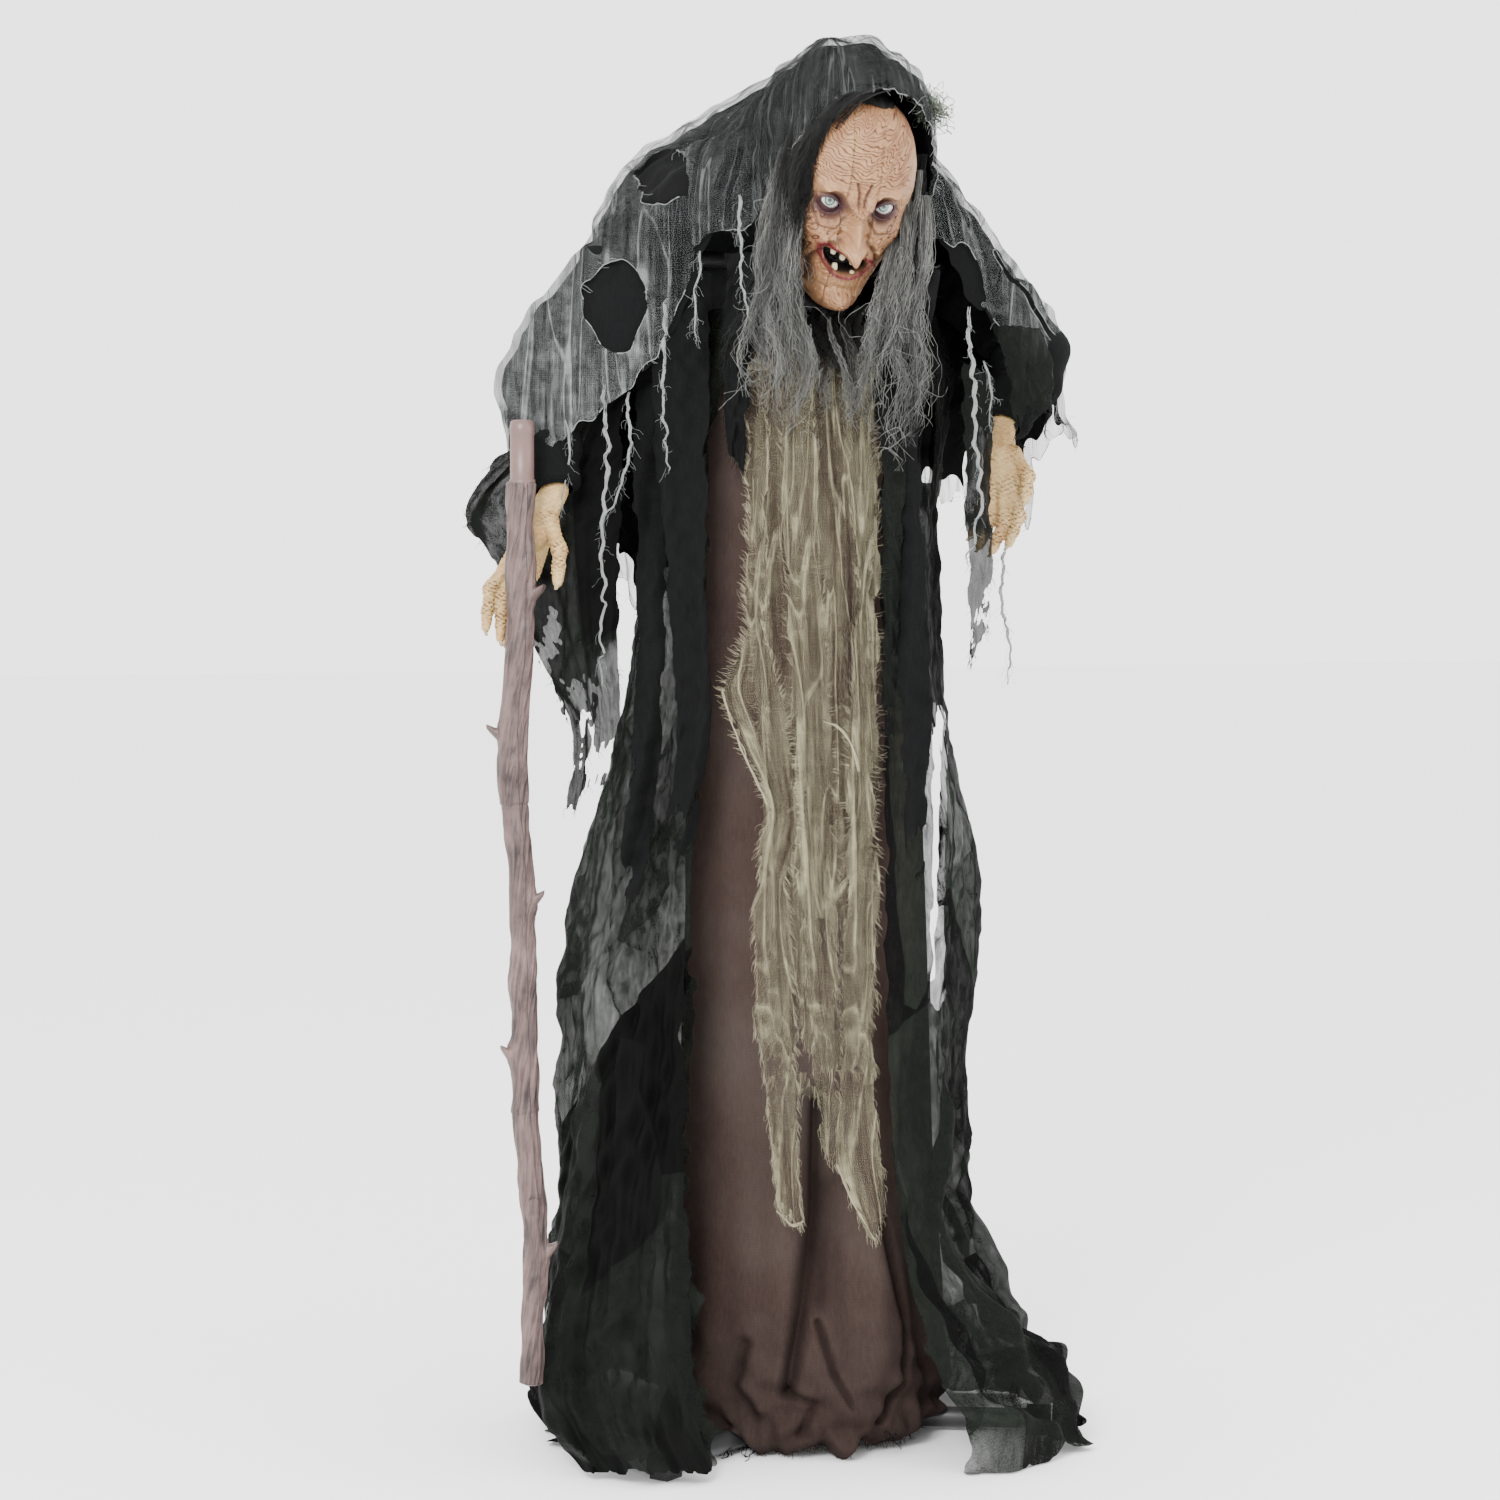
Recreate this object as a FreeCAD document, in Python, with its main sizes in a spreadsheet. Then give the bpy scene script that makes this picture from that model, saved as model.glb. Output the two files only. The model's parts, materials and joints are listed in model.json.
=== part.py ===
"""Life-size animated witch figure that leans on a cane.

A three-legged steel base carries a two-piece pole. A gearmotor at the waist swings the upper body on a
centre post, a second one in the neck turns the head, and each arm pivots in the shoulder bar.
Clothes are plain closed shells with the true outer shape. Row frame: millimetres, +Z up, the
figure faces -Y, and the origin is the middle of the hub's underside, on the floor.
"""

import FreeCAD, Part
import math
import os
import re
import sys

import Sketcher
from FreeCAD import Placement, Rotation, Vector
from fcgear import fcgear, involute

SIZES = {
    # base and pole
    "hub_radius": 55, "hub_plate": 4, "hub_column": 19, "hub_height": 92,
    "leg_axis_height": 18, "leg_radius": 12.5, "leg_bore": 11, "leg_start": 24.5, "leg_end": 306,
    "socket_radius": 15, "socket_end": 78, "foot_radius": 18, "foot_length": 30, "foot_wall": 4,
    "foot_flat": 26, "slip": 0.1,
    "low_pole_radius": 16, "low_pole_bore": 14.1, "low_pole_top": 520,
    "high_pole_radius": 14, "high_pole_bore": 12, "high_pole_foot": 440,
    "collar_radius": 21, "collar_foot": 505, "collar_top": 550, "thumb_height": 537,
    # waist drive
    "deck_foot": 975, "deck_thick": 3, "deck_width": 90, "deck_front": 40, "deck_back": 92,
    "post_radius": 10, "post_top": 1052, "post_flange": 17,
    "gear_module": 2, "pinion_teeth": 14, "gear_teeth": 46, "mesh_slack": 0.3,
    "gear_foot": 986, "gear_thick": 10, "shaft_radius": 4,
    "motor_side": 54, "motor_height": 40, "motor_can": 17, "motor_can_height": 37,
    "motor_screw_offset": 20,
    "turning_slip": 0.05, "torso_hub_foot": 983, "torso_hub_radius": 15, "torso_hub_top": 1120,
    "torso_hub_flange": 28, "spine_foot": 1055,
    # upper body frame
    "spine_radius": 12.5, "spine_bore": 10.5, "spine_back": 45, "spine_top": 1490,
    "spine_bend": 110, "bar_radius": 11, "bar_bore": 6.05, "bar_half": 196,
    "bar_back": 10, "bar_height": 1462, "clamp_half": 28, "clamp_front": 8, "clamp_back": 66,
    "clamp_foot": 1440, "clamp_top": 1484, "rod_radius": 6, "rod_start": 128,
    "shoulder_out": 225, "hump_wide": 145, "hump_deep": 115, "hump_high": 155,
    # head, in its own leaning frame
    "head_forward": 140, "head_side": 20, "head_height": 1530, "head_lean": 25, "head_turned": 12,
    "skull_wide": 75, "skull_deep": 95, "skull_high": 122, "skin": 3,
    "eye_apart": 31, "eye_up": 15, "eye_forward": 74, "eye_radius": 14.5,
    "strap_top": 131, "strap_thick": 3, "strap_half": 20,
    "hood_wide": 115, "hood_deep": 130, "hood_high": 135, "hood_back": 30, "hood_up": 50,
    # clothes
    "cloth": 4, "dress_foot": 1, "dress_top": 1330, "leg_notch": 44, "leg_notch_height": 40,
    "shawl_wide": 190, "shawl_deep": 170, "shawl_high": 185, "shawl_back": 85, "shawl_height": 1470,
    "shawl_foot": 1386, "head_room": 166, "hair_room": 124, "robe_opening": 118, "apron_half": 75,
    "front_turn": 22,
    # cane
    "cane_side": 408, "cane_front": 74, "cane_foot": 110, "cane_low_joint": 436,
    "cane_high_joint": 803, "cane_shoulder": 1190, "cane_top": 1255, "cane_wall": 3,
    # control box on the pole
    "box_half": 40, "box_foot": 620, "box_top": 760, "box_split": 52, "box_back": 18,
    "box_front": 90, "box_wall": 2.5, "button_radius": 8, "button_side": 20, "control_height": 650,
}

ALONG_X = (0, 1, 0, 90)
ALONG_Y = (1, 0, 0, -90)
SIDES = {"right": -1, "left": 1}
LEGS = {"right": 210, "left": 330, "back": 90}  # degrees from +X

doc = FreeCAD.newDocument("animated_witch")
dims = doc.addObject("Spreadsheet::Sheet", "dims")
for line, (alias, number) in enumerate(SIZES.items(), 1):
    dims.set(f"A{line}", alias)
    dims.set(f"B{line}", str(number))
    dims.setAlias(f"B{line}", alias)
doc.recompute()
nodes = []


def size(alias):
    """One driving dimension, read back from the spreadsheet."""
    return float(dims.get(alias))


def bound(text):
    """An expression in which each alias points at the spreadsheet."""
    return re.sub(r"[a-z_]+", lambda m: f"dims.{m[0]}" if m[0] in SIZES else m[0], str(text))


def put(shape, at=(0, 0, 0), turn=None):
    """Turns an object, and ties its place to the spreadsheet."""
    if turn:
        shape.Placement = Placement(Vector(), Rotation(Vector(*turn[:3]), turn[3]))
    for axis, text in zip("xyz", at):
        shape.setExpression(f"Placement.Base.{axis}", bound(text))
    return shape


def keep(label, shape):
    """Marks an object as a sub-part of the figure, under that name."""
    shape.Label = label
    nodes.append(shape)
    return shape


def primitive(kind, at, turn, **sizes):
    made = doc.addObject(kind, "shape")
    for name, text in sizes.items():
        made.setExpression(name, bound(text))
    return put(made, at, turn)


def cylinder(radius, height, at=(0, 0, 0), turn=None):
    return primitive("Part::Cylinder", at, turn, Radius=radius, Height=height)


def block(length, width, height, at=(0, 0, 0), turn=None):
    return primitive("Part::Box", at, turn, Length=length, Width=width, Height=height)


def ellipsoid(wide, deep, high, at=(0, 0, 0), turn=None):
    made = primitive("Part::Ellipsoid", at, turn, Radius1=high, Radius2=wide, Radius3=deep)
    made.Angle1, made.Angle2, made.Angle3 = -90, 90, 360
    return made


def fuse(*shapes):
    """Joins shapes. A single shape is only wrapped, so that it can be placed as a whole."""
    if len(shapes) == 1:
        made = doc.addObject("Part::Compound", "group")
        made.Links = list(shapes)
        return made
    made = doc.addObject("Part::MultiFuse", "joined")
    made.Shapes = list(shapes)
    return made


def cut(base, *tools):
    made = doc.addObject("Part::Cut", "trimmed")
    made.Base = base
    made.Tool = tools[0] if len(tools) == 1 else fuse(*tools)
    return made


def origin_plane(body, role):
    return next(f for f in body.Origin.OriginFeatures if f.Role == role)


def ring_sketch(body, *radii):
    """Concentric circles on the body's XY plane, each radius tied to the spreadsheet."""
    sketch = body.newObject("Sketcher::SketchObject", "section")
    sketch.AttachmentSupport = (origin_plane(body, "XY_Plane"), [""])
    sketch.MapMode = "FlatFace"
    for text in radii:
        ring = sketch.addGeometry(Part.Circle(Vector(), Vector(0, 0, 1), 10 + 5 * len(radii)), False)
        sketch.addConstraint(Sketcher.Constraint("Coincident", ring, 3, -1, 1))
        number = sketch.addConstraint(Sketcher.Constraint("Radius", ring, 10))
        sketch.setExpression(f"Constraints[{number}]", bound(text))
    return sketch


def tube(label, outer, inner, length, at=(0, 0, 0), turn=None):
    """A straight tube: two circles padded to a length."""
    body = doc.addObject("PartDesign::Body", label)
    pad = body.newObject("PartDesign::Pad", "length")
    pad.Profile = ring_sketch(body, outer, inner)
    pad.setExpression("Length", bound(length))
    body.Tip = pad
    return put(body, at, turn)


def turned(label, outline, at=(0, 0, 0), turn=None):
    """A solid of revolution about Z from (radius, height) points, each tied to the spreadsheet."""
    body = doc.addObject("PartDesign::Body", label)
    sketch = body.newObject("Sketcher::SketchObject", "half_section")
    sketch.AttachmentSupport = (origin_plane(body, "XZ_Plane"), [""])
    sketch.MapMode = "FlatFace"
    count = len(outline)
    guess = [Vector(5 + 3 * math.cos(2 * math.pi * k / count), 3 * math.sin(2 * math.pi * k / count))
             for k in range(count)]
    for k in range(count):
        sketch.addGeometry(Part.LineSegment(guess[k], guess[(k + 1) % count]), False)
    for k in range(count):
        sketch.addConstraint(Sketcher.Constraint("Coincident", k, 2, (k + 1) % count, 1))
    for k, pair in enumerate(outline):
        for kind, text in zip(("DistanceX", "DistanceY"), pair):
            number = sketch.addConstraint(Sketcher.Constraint(kind, -1, 1, k, 1, 1.0))
            sketch.setExpression(f"Constraints[{number}]", bound(text))
    spin = body.newObject("PartDesign::Revolution", "turned")
    spin.Profile = sketch
    spin.ReferenceAxis = (sketch, ["V_Axis"])
    spin.Angle = 360
    body.Tip = spin
    return put(body, at, turn)


def in_head(shape, turn=0):
    """Takes a shape built in the head frame to its place. The shape's own place is kept inside it."""
    lean = Rotation(Vector(1, 0, 0), size("head_lean"))
    shape.Placement = Placement(Vector(), lean.multiply(Rotation(Vector(0, 0, 1), turn)))
    shape.setExpression("Placement.Base.x", bound("-head_side"))
    shape.setExpression("Placement.Base.y", bound("-head_forward"))
    shape.setExpression("Placement.Base.z", bound("head_height"))
    return shape


def on_head(shape):
    """A shape that turns with the head, which looks a little to the figure's right."""
    return in_head(shape, -size("head_turned"))


def bent_solid(points, radius, bend):
    """A round rod along straight runs joined by tangent arcs."""
    edges, start = [], points[0]
    for before, corner, after in zip(points, points[1:], points[2:]):
        inward, outward = (before - corner).normalize(), (after - corner).normalize()
        half = math.acos(max(-1.0, min(1.0, inward.dot(outward)))) / 2
        reach = min(bend / math.tan(half), 0.45 * min((before - corner).Length, (after - corner).Length))
        first, last = corner + inward * reach, corner + outward * reach
        middle_way = (inward + outward).normalize()
        arc_radius = reach * math.tan(half)
        middle = corner + middle_way * (arc_radius / math.sin(half) - arc_radius)
        edges += [Part.LineSegment(start, first).toShape(), Part.Arc(first, middle, last).toShape()]
        start = last
    edges.append(Part.LineSegment(start, points[-1]).toShape())
    path = Part.Wire(edges)
    ring = Part.Wire([Part.Circle(points[0], points[1] - points[0], radius).toShape()])
    return path.makePipeShell([ring], True, False)


def limb(points, radii):
    """A stuffed limb or finger: balls at the points, tapered between them."""
    made = Part.makeSphere(radii[0], points[0])
    for (start, end), (wide, thin) in zip(zip(points, points[1:]), zip(radii, radii[1:])):
        way = end - start
        if abs(wide - thin) < 0.01:
            link = Part.makeCylinder(wide, way.Length, start, way)
        else:
            link = Part.makeCone(wide, thin, way.Length, start, way)
        made = made.fuse([link, Part.makeSphere(thin, end)])
    return made


def feature(shape):
    """Holds a shape made with Part's own functions in the document."""
    made = doc.addObject("Part::Feature", "shape")
    made.Shape = shape
    return made


# ---------------------------------------------------------------- base and pole


def leg_piece(radius, start, end, turn):
    """A cylinder along a leg's axis, pointing out from the pole."""
    way = Vector(math.cos(math.radians(turn)), math.sin(math.radians(turn)), 0)
    made = cylinder(radius, f"{end} - ({start})")
    made.Placement = Placement(Vector(), Rotation(Vector(0, 0, 1), way))
    made.setExpression("Placement.Base.x", bound(f"({start}) * {way.x:.6f}"))
    made.setExpression("Placement.Base.y", bound(f"({start}) * {way.y:.6f}"))
    made.setExpression("Placement.Base.z", bound("leg_axis_height"))
    return made


def leg_block(start, length, width, height, foot, turn):
    """A level block along a leg's direction."""
    along, across = math.cos(math.radians(turn)), math.sin(math.radians(turn))
    made = block(length, width, height)
    made.Placement = Placement(Vector(), Rotation(Vector(0, 0, 1), turn))
    made.setExpression("Placement.Base.x", bound(f"({start}) * {along:.6f} + {width} / 2 * {across:.6f}"))
    made.setExpression("Placement.Base.y", bound(f"({start}) * {across:.6f} - {width} / 2 * {along:.6f}"))
    made.setExpression("Placement.Base.z", bound(foot))
    return made


def foot_cap(turn):
    """A round cap with a flat underside, pushed over a leg's end."""
    start = "leg_end + foot_wall - foot_length"
    cap = leg_piece("foot_radius", start, "leg_end + foot_wall", turn)
    flat = leg_block(start, "foot_length", "foot_flat", "foot_radius", 0, turn)
    return cut(fuse(cap, flat), leg_piece("leg_radius + slip", "leg_start", "leg_end", turn))


def make_base():
    turns = LEGS.values()
    keep("base_hub", cut(
        fuse(cylinder("hub_radius", "hub_plate"), cylinder("hub_column", "hub_height"),
             *[leg_piece("socket_radius", 2, "socket_end", turn) for turn in turns]),
        cylinder("low_pole_radius + slip", "hub_height", (0, 0, "hub_plate")),
        *[leg_piece("leg_radius + slip", "leg_start - 0.5", "socket_end + 1", turn) for turn in turns]))
    for name, turn in LEGS.items():
        keep(f"{name}_leg", cut(leg_piece("leg_radius", "leg_start", "leg_end", turn),
                                leg_piece("leg_bore", "leg_start - 1", "leg_end + 1", turn)))
    keep("foot_caps", fuse(*[foot_cap(turn) for turn in turns]))
    keep("lower_pole", tube("low_pole", "low_pole_radius", "low_pole_bore",
                            "low_pole_top - hub_plate", (0, 0, "hub_plate")))
    keep("upper_pole", tube("high_pole", "high_pole_radius", "high_pole_bore",
                            "deck_foot - high_pole_foot", (0, 0, "high_pole_foot")))
    collar = turned("collar", [
        ("low_pole_radius + slip", "collar_foot"), ("collar_radius", "collar_foot"),
        ("collar_radius", "collar_top"), ("high_pole_radius + slip", "collar_top"),
        ("high_pole_radius + slip", "low_pole_top + slip"),
        ("low_pole_radius + slip", "low_pole_top + slip")])
    boss = cylinder(8, 14, (18, 0, "thumb_height"), ALONG_X)
    keep("pole_collar", cut(fuse(collar, boss), cylinder(3.1, 30, (10, 0, "thumb_height"), ALONG_X)))
    keep("pole_thumb_screw", fuse(
        cylinder(3, 19, ("high_pole_radius + slip", 0, "thumb_height"), ALONG_X),
        cylinder(11, 9, (32.5, 0, "thumb_height"), ALONG_X)))


# ---------------------------------------------------------------- waist drive


def gear_distance():
    """Between the axes: the pitch radii and a little slack, so that the teeth never bind."""
    return size("gear_module") * (size("pinion_teeth") + size("gear_teeth")) / 2 + size("mesh_slack")


def toothed(teeth, turn, at_y):
    """An involute gear blank of the drive's module, tied to the gear thickness."""
    maker = fcgear.FCWireBuilder()
    involute.CreateExternalGear(maker, size("gear_module"), int(teeth), 20)
    outline = doc.addObject("Part::Feature", "teeth")
    outline.Shape = Part.Wire([edge.toShape() for edge in maker.wire])
    outline.Placement = Placement(Vector(0, at_y, size("gear_foot")), Rotation(Vector(0, 0, 1), turn))
    blank = doc.addObject("Part::Extrusion", "blank")
    blank.Base = outline
    blank.DirMode = "Custom"
    blank.Dir = Vector(0, 0, 1)
    blank.Solid = True
    blank.setExpression("LengthFwd", bound("gear_thick"))
    return blank


def make_waist():
    axis_y = gear_distance()
    spots = [(side * size("motor_screw_offset"), axis_y + up * size("motor_screw_offset"))
             for side in (-1, 1) for up in (-1, 1)]
    deck = block("deck_width", "deck_front + deck_back", "deck_thick",
                 ("-deck_width / 2", "-deck_front", "deck_foot"))
    sleeve = cylinder("high_pole_radius + 3", 35, (0, 0, "deck_foot - 35"))
    holes = [cylinder(2.2, 20, (x, y, "deck_foot - 5")) for x, y in spots]
    keep("motor_deck", cut(
        fuse(deck, sleeve), cylinder("high_pole_radius + slip", 36, (0, 0, "deck_foot - 36")),
        cylinder(8, 10, (0, 0, "deck_foot - 1")), cylinder(6, 20, (0, axis_y, "deck_foot - 5")), *holes))
    keep("centre_post", turned("post", [
        (0, "deck_foot"), (7.9, "deck_foot"), (7.9, "deck_foot + deck_thick"),
        ("post_flange", "deck_foot + deck_thick"), ("post_flange", "torso_hub_foot - 2"),
        ("post_radius", "torso_hub_foot - 2"), ("post_radius", "post_top"), (0, "post_top")]))
    keep("thrust_washer", tube("washer", 16, "post_radius + 0.2", 2, (0, 0, "torso_hub_foot - 2")))

    housing = block("motor_side", "motor_side", "motor_height",
                    ("-motor_side / 2", f"{axis_y} - motor_side / 2", "deck_foot - motor_height"))
    can = cylinder("motor_can", "motor_can_height + 1",
                   (0, axis_y, "deck_foot - motor_height - motor_can_height"))
    screw_holes = [cylinder(2.05, 9, (x, y, "deck_foot - 8")) for x, y in spots]
    keep("waist_gearmotor", cut(
        fuse(housing, can), cylinder("shaft_radius + turning_slip", 12, (0, axis_y, "deck_foot - 11")),
        *screw_holes))
    keep("motor_screws", fuse(*[
        fuse(cylinder(2, 10, (x, y, "deck_foot + deck_thick - 10")),
             cylinder(3.6, 2.6, (x, y, "deck_foot + deck_thick"))) for x, y in spots]))
    half_tooth = 180 / size("pinion_teeth")
    pinion = toothed(size("pinion_teeth"), 90 + half_tooth, axis_y)
    shaft = cylinder("shaft_radius", "gear_foot + gear_thick + 2 - deck_foot + 10",
                     (0, axis_y, "deck_foot - 10"))
    keep("waist_pinion", fuse(pinion, shaft))

    gear_spots = [(22 * math.cos(math.radians(a)), 22 * math.sin(math.radians(a))) for a in (30, 150, 270)]
    flange_foot = "gear_foot + gear_thick"
    keep("turntable_gear", cut(
        toothed(size("gear_teeth"), 90, 0), cylinder("torso_hub_radius + slip", 30, (0, 0, "gear_foot - 5")),
        *[cylinder(1.6, 30, (x, y, "gear_foot - 5")) for x, y in gear_spots]))
    hub = turned("turning_hub", [
        ("post_radius + turning_slip", "torso_hub_foot"), ("torso_hub_radius", "torso_hub_foot"),
        ("torso_hub_radius", flange_foot), ("torso_hub_flange", flange_foot),
        ("torso_hub_flange", flange_foot + " + 4"), ("torso_hub_radius", flange_foot + " + 4"),
        ("torso_hub_radius", "torso_hub_top"), ("spine_radius + slip", "torso_hub_top"),
        ("spine_radius + slip", "spine_foot"), ("post_radius + turning_slip", "spine_foot")])
    keep("torso_hub", cut(hub, *[cylinder(1.6, 6, (x, y, flange_foot + " - 1")) for x, y in gear_spots]))
    keep("gear_screws", fuse(*[
        fuse(cylinder(1.5, 12, (x, y, flange_foot + " - 8")),
             cylinder(3, 2.2, (x, y, flange_foot + " + 4"))) for x, y in gear_spots]))


# ---------------------------------------------------------------- control box


def make_control_box():
    height = "box_top - box_foot"
    middle = "(box_top + box_foot) / 2"
    corners = [(x, z) for x in (-33, 33) for z in ("box_foot + 8", "box_top - 8")]
    outer = block("2 * box_half", "box_split - box_back", height, ("-box_half", "-box_split", "box_foot"))
    inner = block("2 * (box_half - box_wall)", "box_split - box_back - box_wall",
                  f"{height} - 2 * box_wall",
                  ("box_wall - box_half", "-box_split", "box_foot + box_wall"))
    rings = [cylinder("high_pole_radius + 6", 18, (0, 0, z)) for z in ("box_foot + 20", "box_top - 38")]
    pole = cylinder("high_pole_radius + slip", 200, (0, 0, "box_foot - 20"))
    posts = [cylinder(4, 40, (x, -60, z), ALONG_Y) for x, z in corners]
    pegs = [cylinder(3, 28, (x, "-48.4", middle), ALONG_Y) for x in (-22, 22)]
    bores = [cylinder(1.55, 14, (x, -61, z), ALONG_Y) for x, z in corners]
    keep("control_box_base", cut(fuse(cut(outer, inner), *rings, *posts, *pegs), pole, *bores))

    shell = block("2 * box_half", "box_front - box_split", height, ("-box_half", "-box_front", "box_foot"))
    hollow = block("2 * (box_half - box_wall)", "box_front - box_split - box_wall",
                   f"{height} - 2 * box_wall",
                   ("box_wall - box_half", "box_wall - box_front", "box_foot + box_wall"))
    grille = [cylinder(2, 10, (8 * col, "-box_front - 5", f"box_top - 38 + {8 * row}"), ALONG_Y)
              for col in (-1, 0, 1) for row in (-1, 0, 1)]
    holes = [cylinder("button_radius + 0.2", 10, ("-button_side", "-box_front - 5", "control_height"),
                      ALONG_Y),
             block(12.4, 10, 4.4, (15.8, "-box_front - 5", "control_height - 2.2")),
             cylinder(7, 10, (0, "-box_front - 5", "control_height + 30"), ALONG_Y),
             cylinder(4.2, 10, (0, -62, "box_foot - 5")),
             *[cylinder(1.6, 10, (x, "-box_front - 5", z), ALONG_Y) for x, z in corners]]
    keep("control_box_cover", cut(cut(shell, hollow), *holes, *grille))
    keep("circuit_board", block(56, 1.6, 112, (-28, -50, f"{middle} - 56")))
    keep("speaker", fuse(cylinder(21, 3, (0, "box_wall - box_front + slip", "box_top - 38"), ALONG_Y),
                         cylinder(14, 12, (0, "box_wall - box_front + 1", "box_top - 38"), ALONG_Y)))
    keep("sensor_lens", fuse(
        cylinder(6.8, 6, (0, "-box_front - 2", "control_height + 30"), ALONG_Y),
        cylinder(9, 2, (0, "box_wall - box_front + slip", "control_height + 30"), ALONG_Y)))
    keep("try_me_button", fuse(
        cylinder("button_radius", 10, ("-button_side", "-box_front - 5", "control_height"), ALONG_Y),
        cylinder("button_radius + 2", 2, ("-button_side", "box_wall - box_front + slip", "control_height"),
                 ALONG_Y)))
    keep("mode_switch", fuse(
        block(6, 9, 4, (16.8, "-box_front - 4", "control_height - 2")),
        block(9, 2, 8, (15.3, "box_wall - box_front + slip", "control_height - 4"))))
    keep("dc_inlet", cut(cylinder(4, 14, (0, -62, "box_foot")), cylinder(2.75, 11, (0, -62, "box_foot - 1"))))
    keep("cover_screws", fuse(*[
        fuse(cylinder(1.5, 38, (x, "-box_front - 0.1", z), ALONG_Y),
             cylinder(3, 2.4, (x, "-box_front - 2.5", z), ALONG_Y)) for x, z in corners]))


# ---------------------------------------------------------------- upper body frame


def make_torso():
    back, top, foot = size("spine_back"), size("spine_top"), size("spine_foot")
    points = [Vector(0, 0, foot), Vector(0, 0, foot + 95), Vector(0, back, foot + 245), Vector(0, back, top)]
    keep("spine_tube", cut(feature(bent_solid(points, size("spine_radius"), size("spine_bend"))),
                           feature(bent_solid(points, size("spine_bore"), size("spine_bend")))))
    bar = tube("shoulder_tube", "bar_radius", "bar_bore", "2 * bar_half",
               ("-bar_half", "bar_back", "bar_height"), ALONG_X)
    wide = [cylinder(2.6, 20, (side * 160, "bar_back", "bar_height"), ALONG_Y) for side in (-1, 1)]
    keep("shoulder_bar", cut(bar, *wide))
    keep("shoulder_clamp", cut(
        block("2 * clamp_half", "clamp_front + clamp_back", "clamp_top - clamp_foot",
              ("-clamp_half", "-clamp_front", "clamp_foot")),
        cylinder("bar_radius + slip", 80, (-40, "bar_back", "bar_height"), ALONG_X),
        cylinder("spine_radius + slip", 80, (0, "spine_back", "clamp_foot - 10"))))
    keep("shoulder_screws", fuse(*[
        fuse(cylinder(2.5, 24, (side * 160, "bar_back + rod_radius + slip", "bar_height"), ALONG_Y),
             block(18, 6, 5, (side * 160 - 9, "bar_back + 26", "bar_height - 2.5"))) for side in (-1, 1)]))
    tab = block("2 * strap_half", 3, 44,
                ("-strap_half - head_side", "-clamp_front - 3 - slip", "clamp_foot"))
    strap = fuse(block("2 * strap_half", 113, "strap_thick",
                       ("-strap_half", -31, "-strap_top - strap_thick")))
    keep("neck_bracket", fuse(tab, in_head(cut(strap, cylinder(5, 20, (0, 0, "-strap_top - 10"))))))
    motor = fuse(block(38, 44, 30, (-19, -22, "-strap_top - strap_thick - 30")),
                 cylinder(12, 33, (0, 0, "-strap_top - strap_thick - 62")))
    keep("head_gearmotor", in_head(
        cut(motor, cylinder("shaft_radius + turning_slip", 15, (0, 0, "-strap_top - strap_thick - 14")))))
    hump = ellipsoid("hump_wide", "hump_deep", "hump_high", (0, 100, "shawl_height"))
    keep("hump_pad", cut(hump, block(400, 200, 400, (-200, -130, "shawl_height - 200")),
                         block(400, 400, 200, (-200, -100, "shawl_foot - 200"))))


# ---------------------------------------------------------------- head


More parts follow.
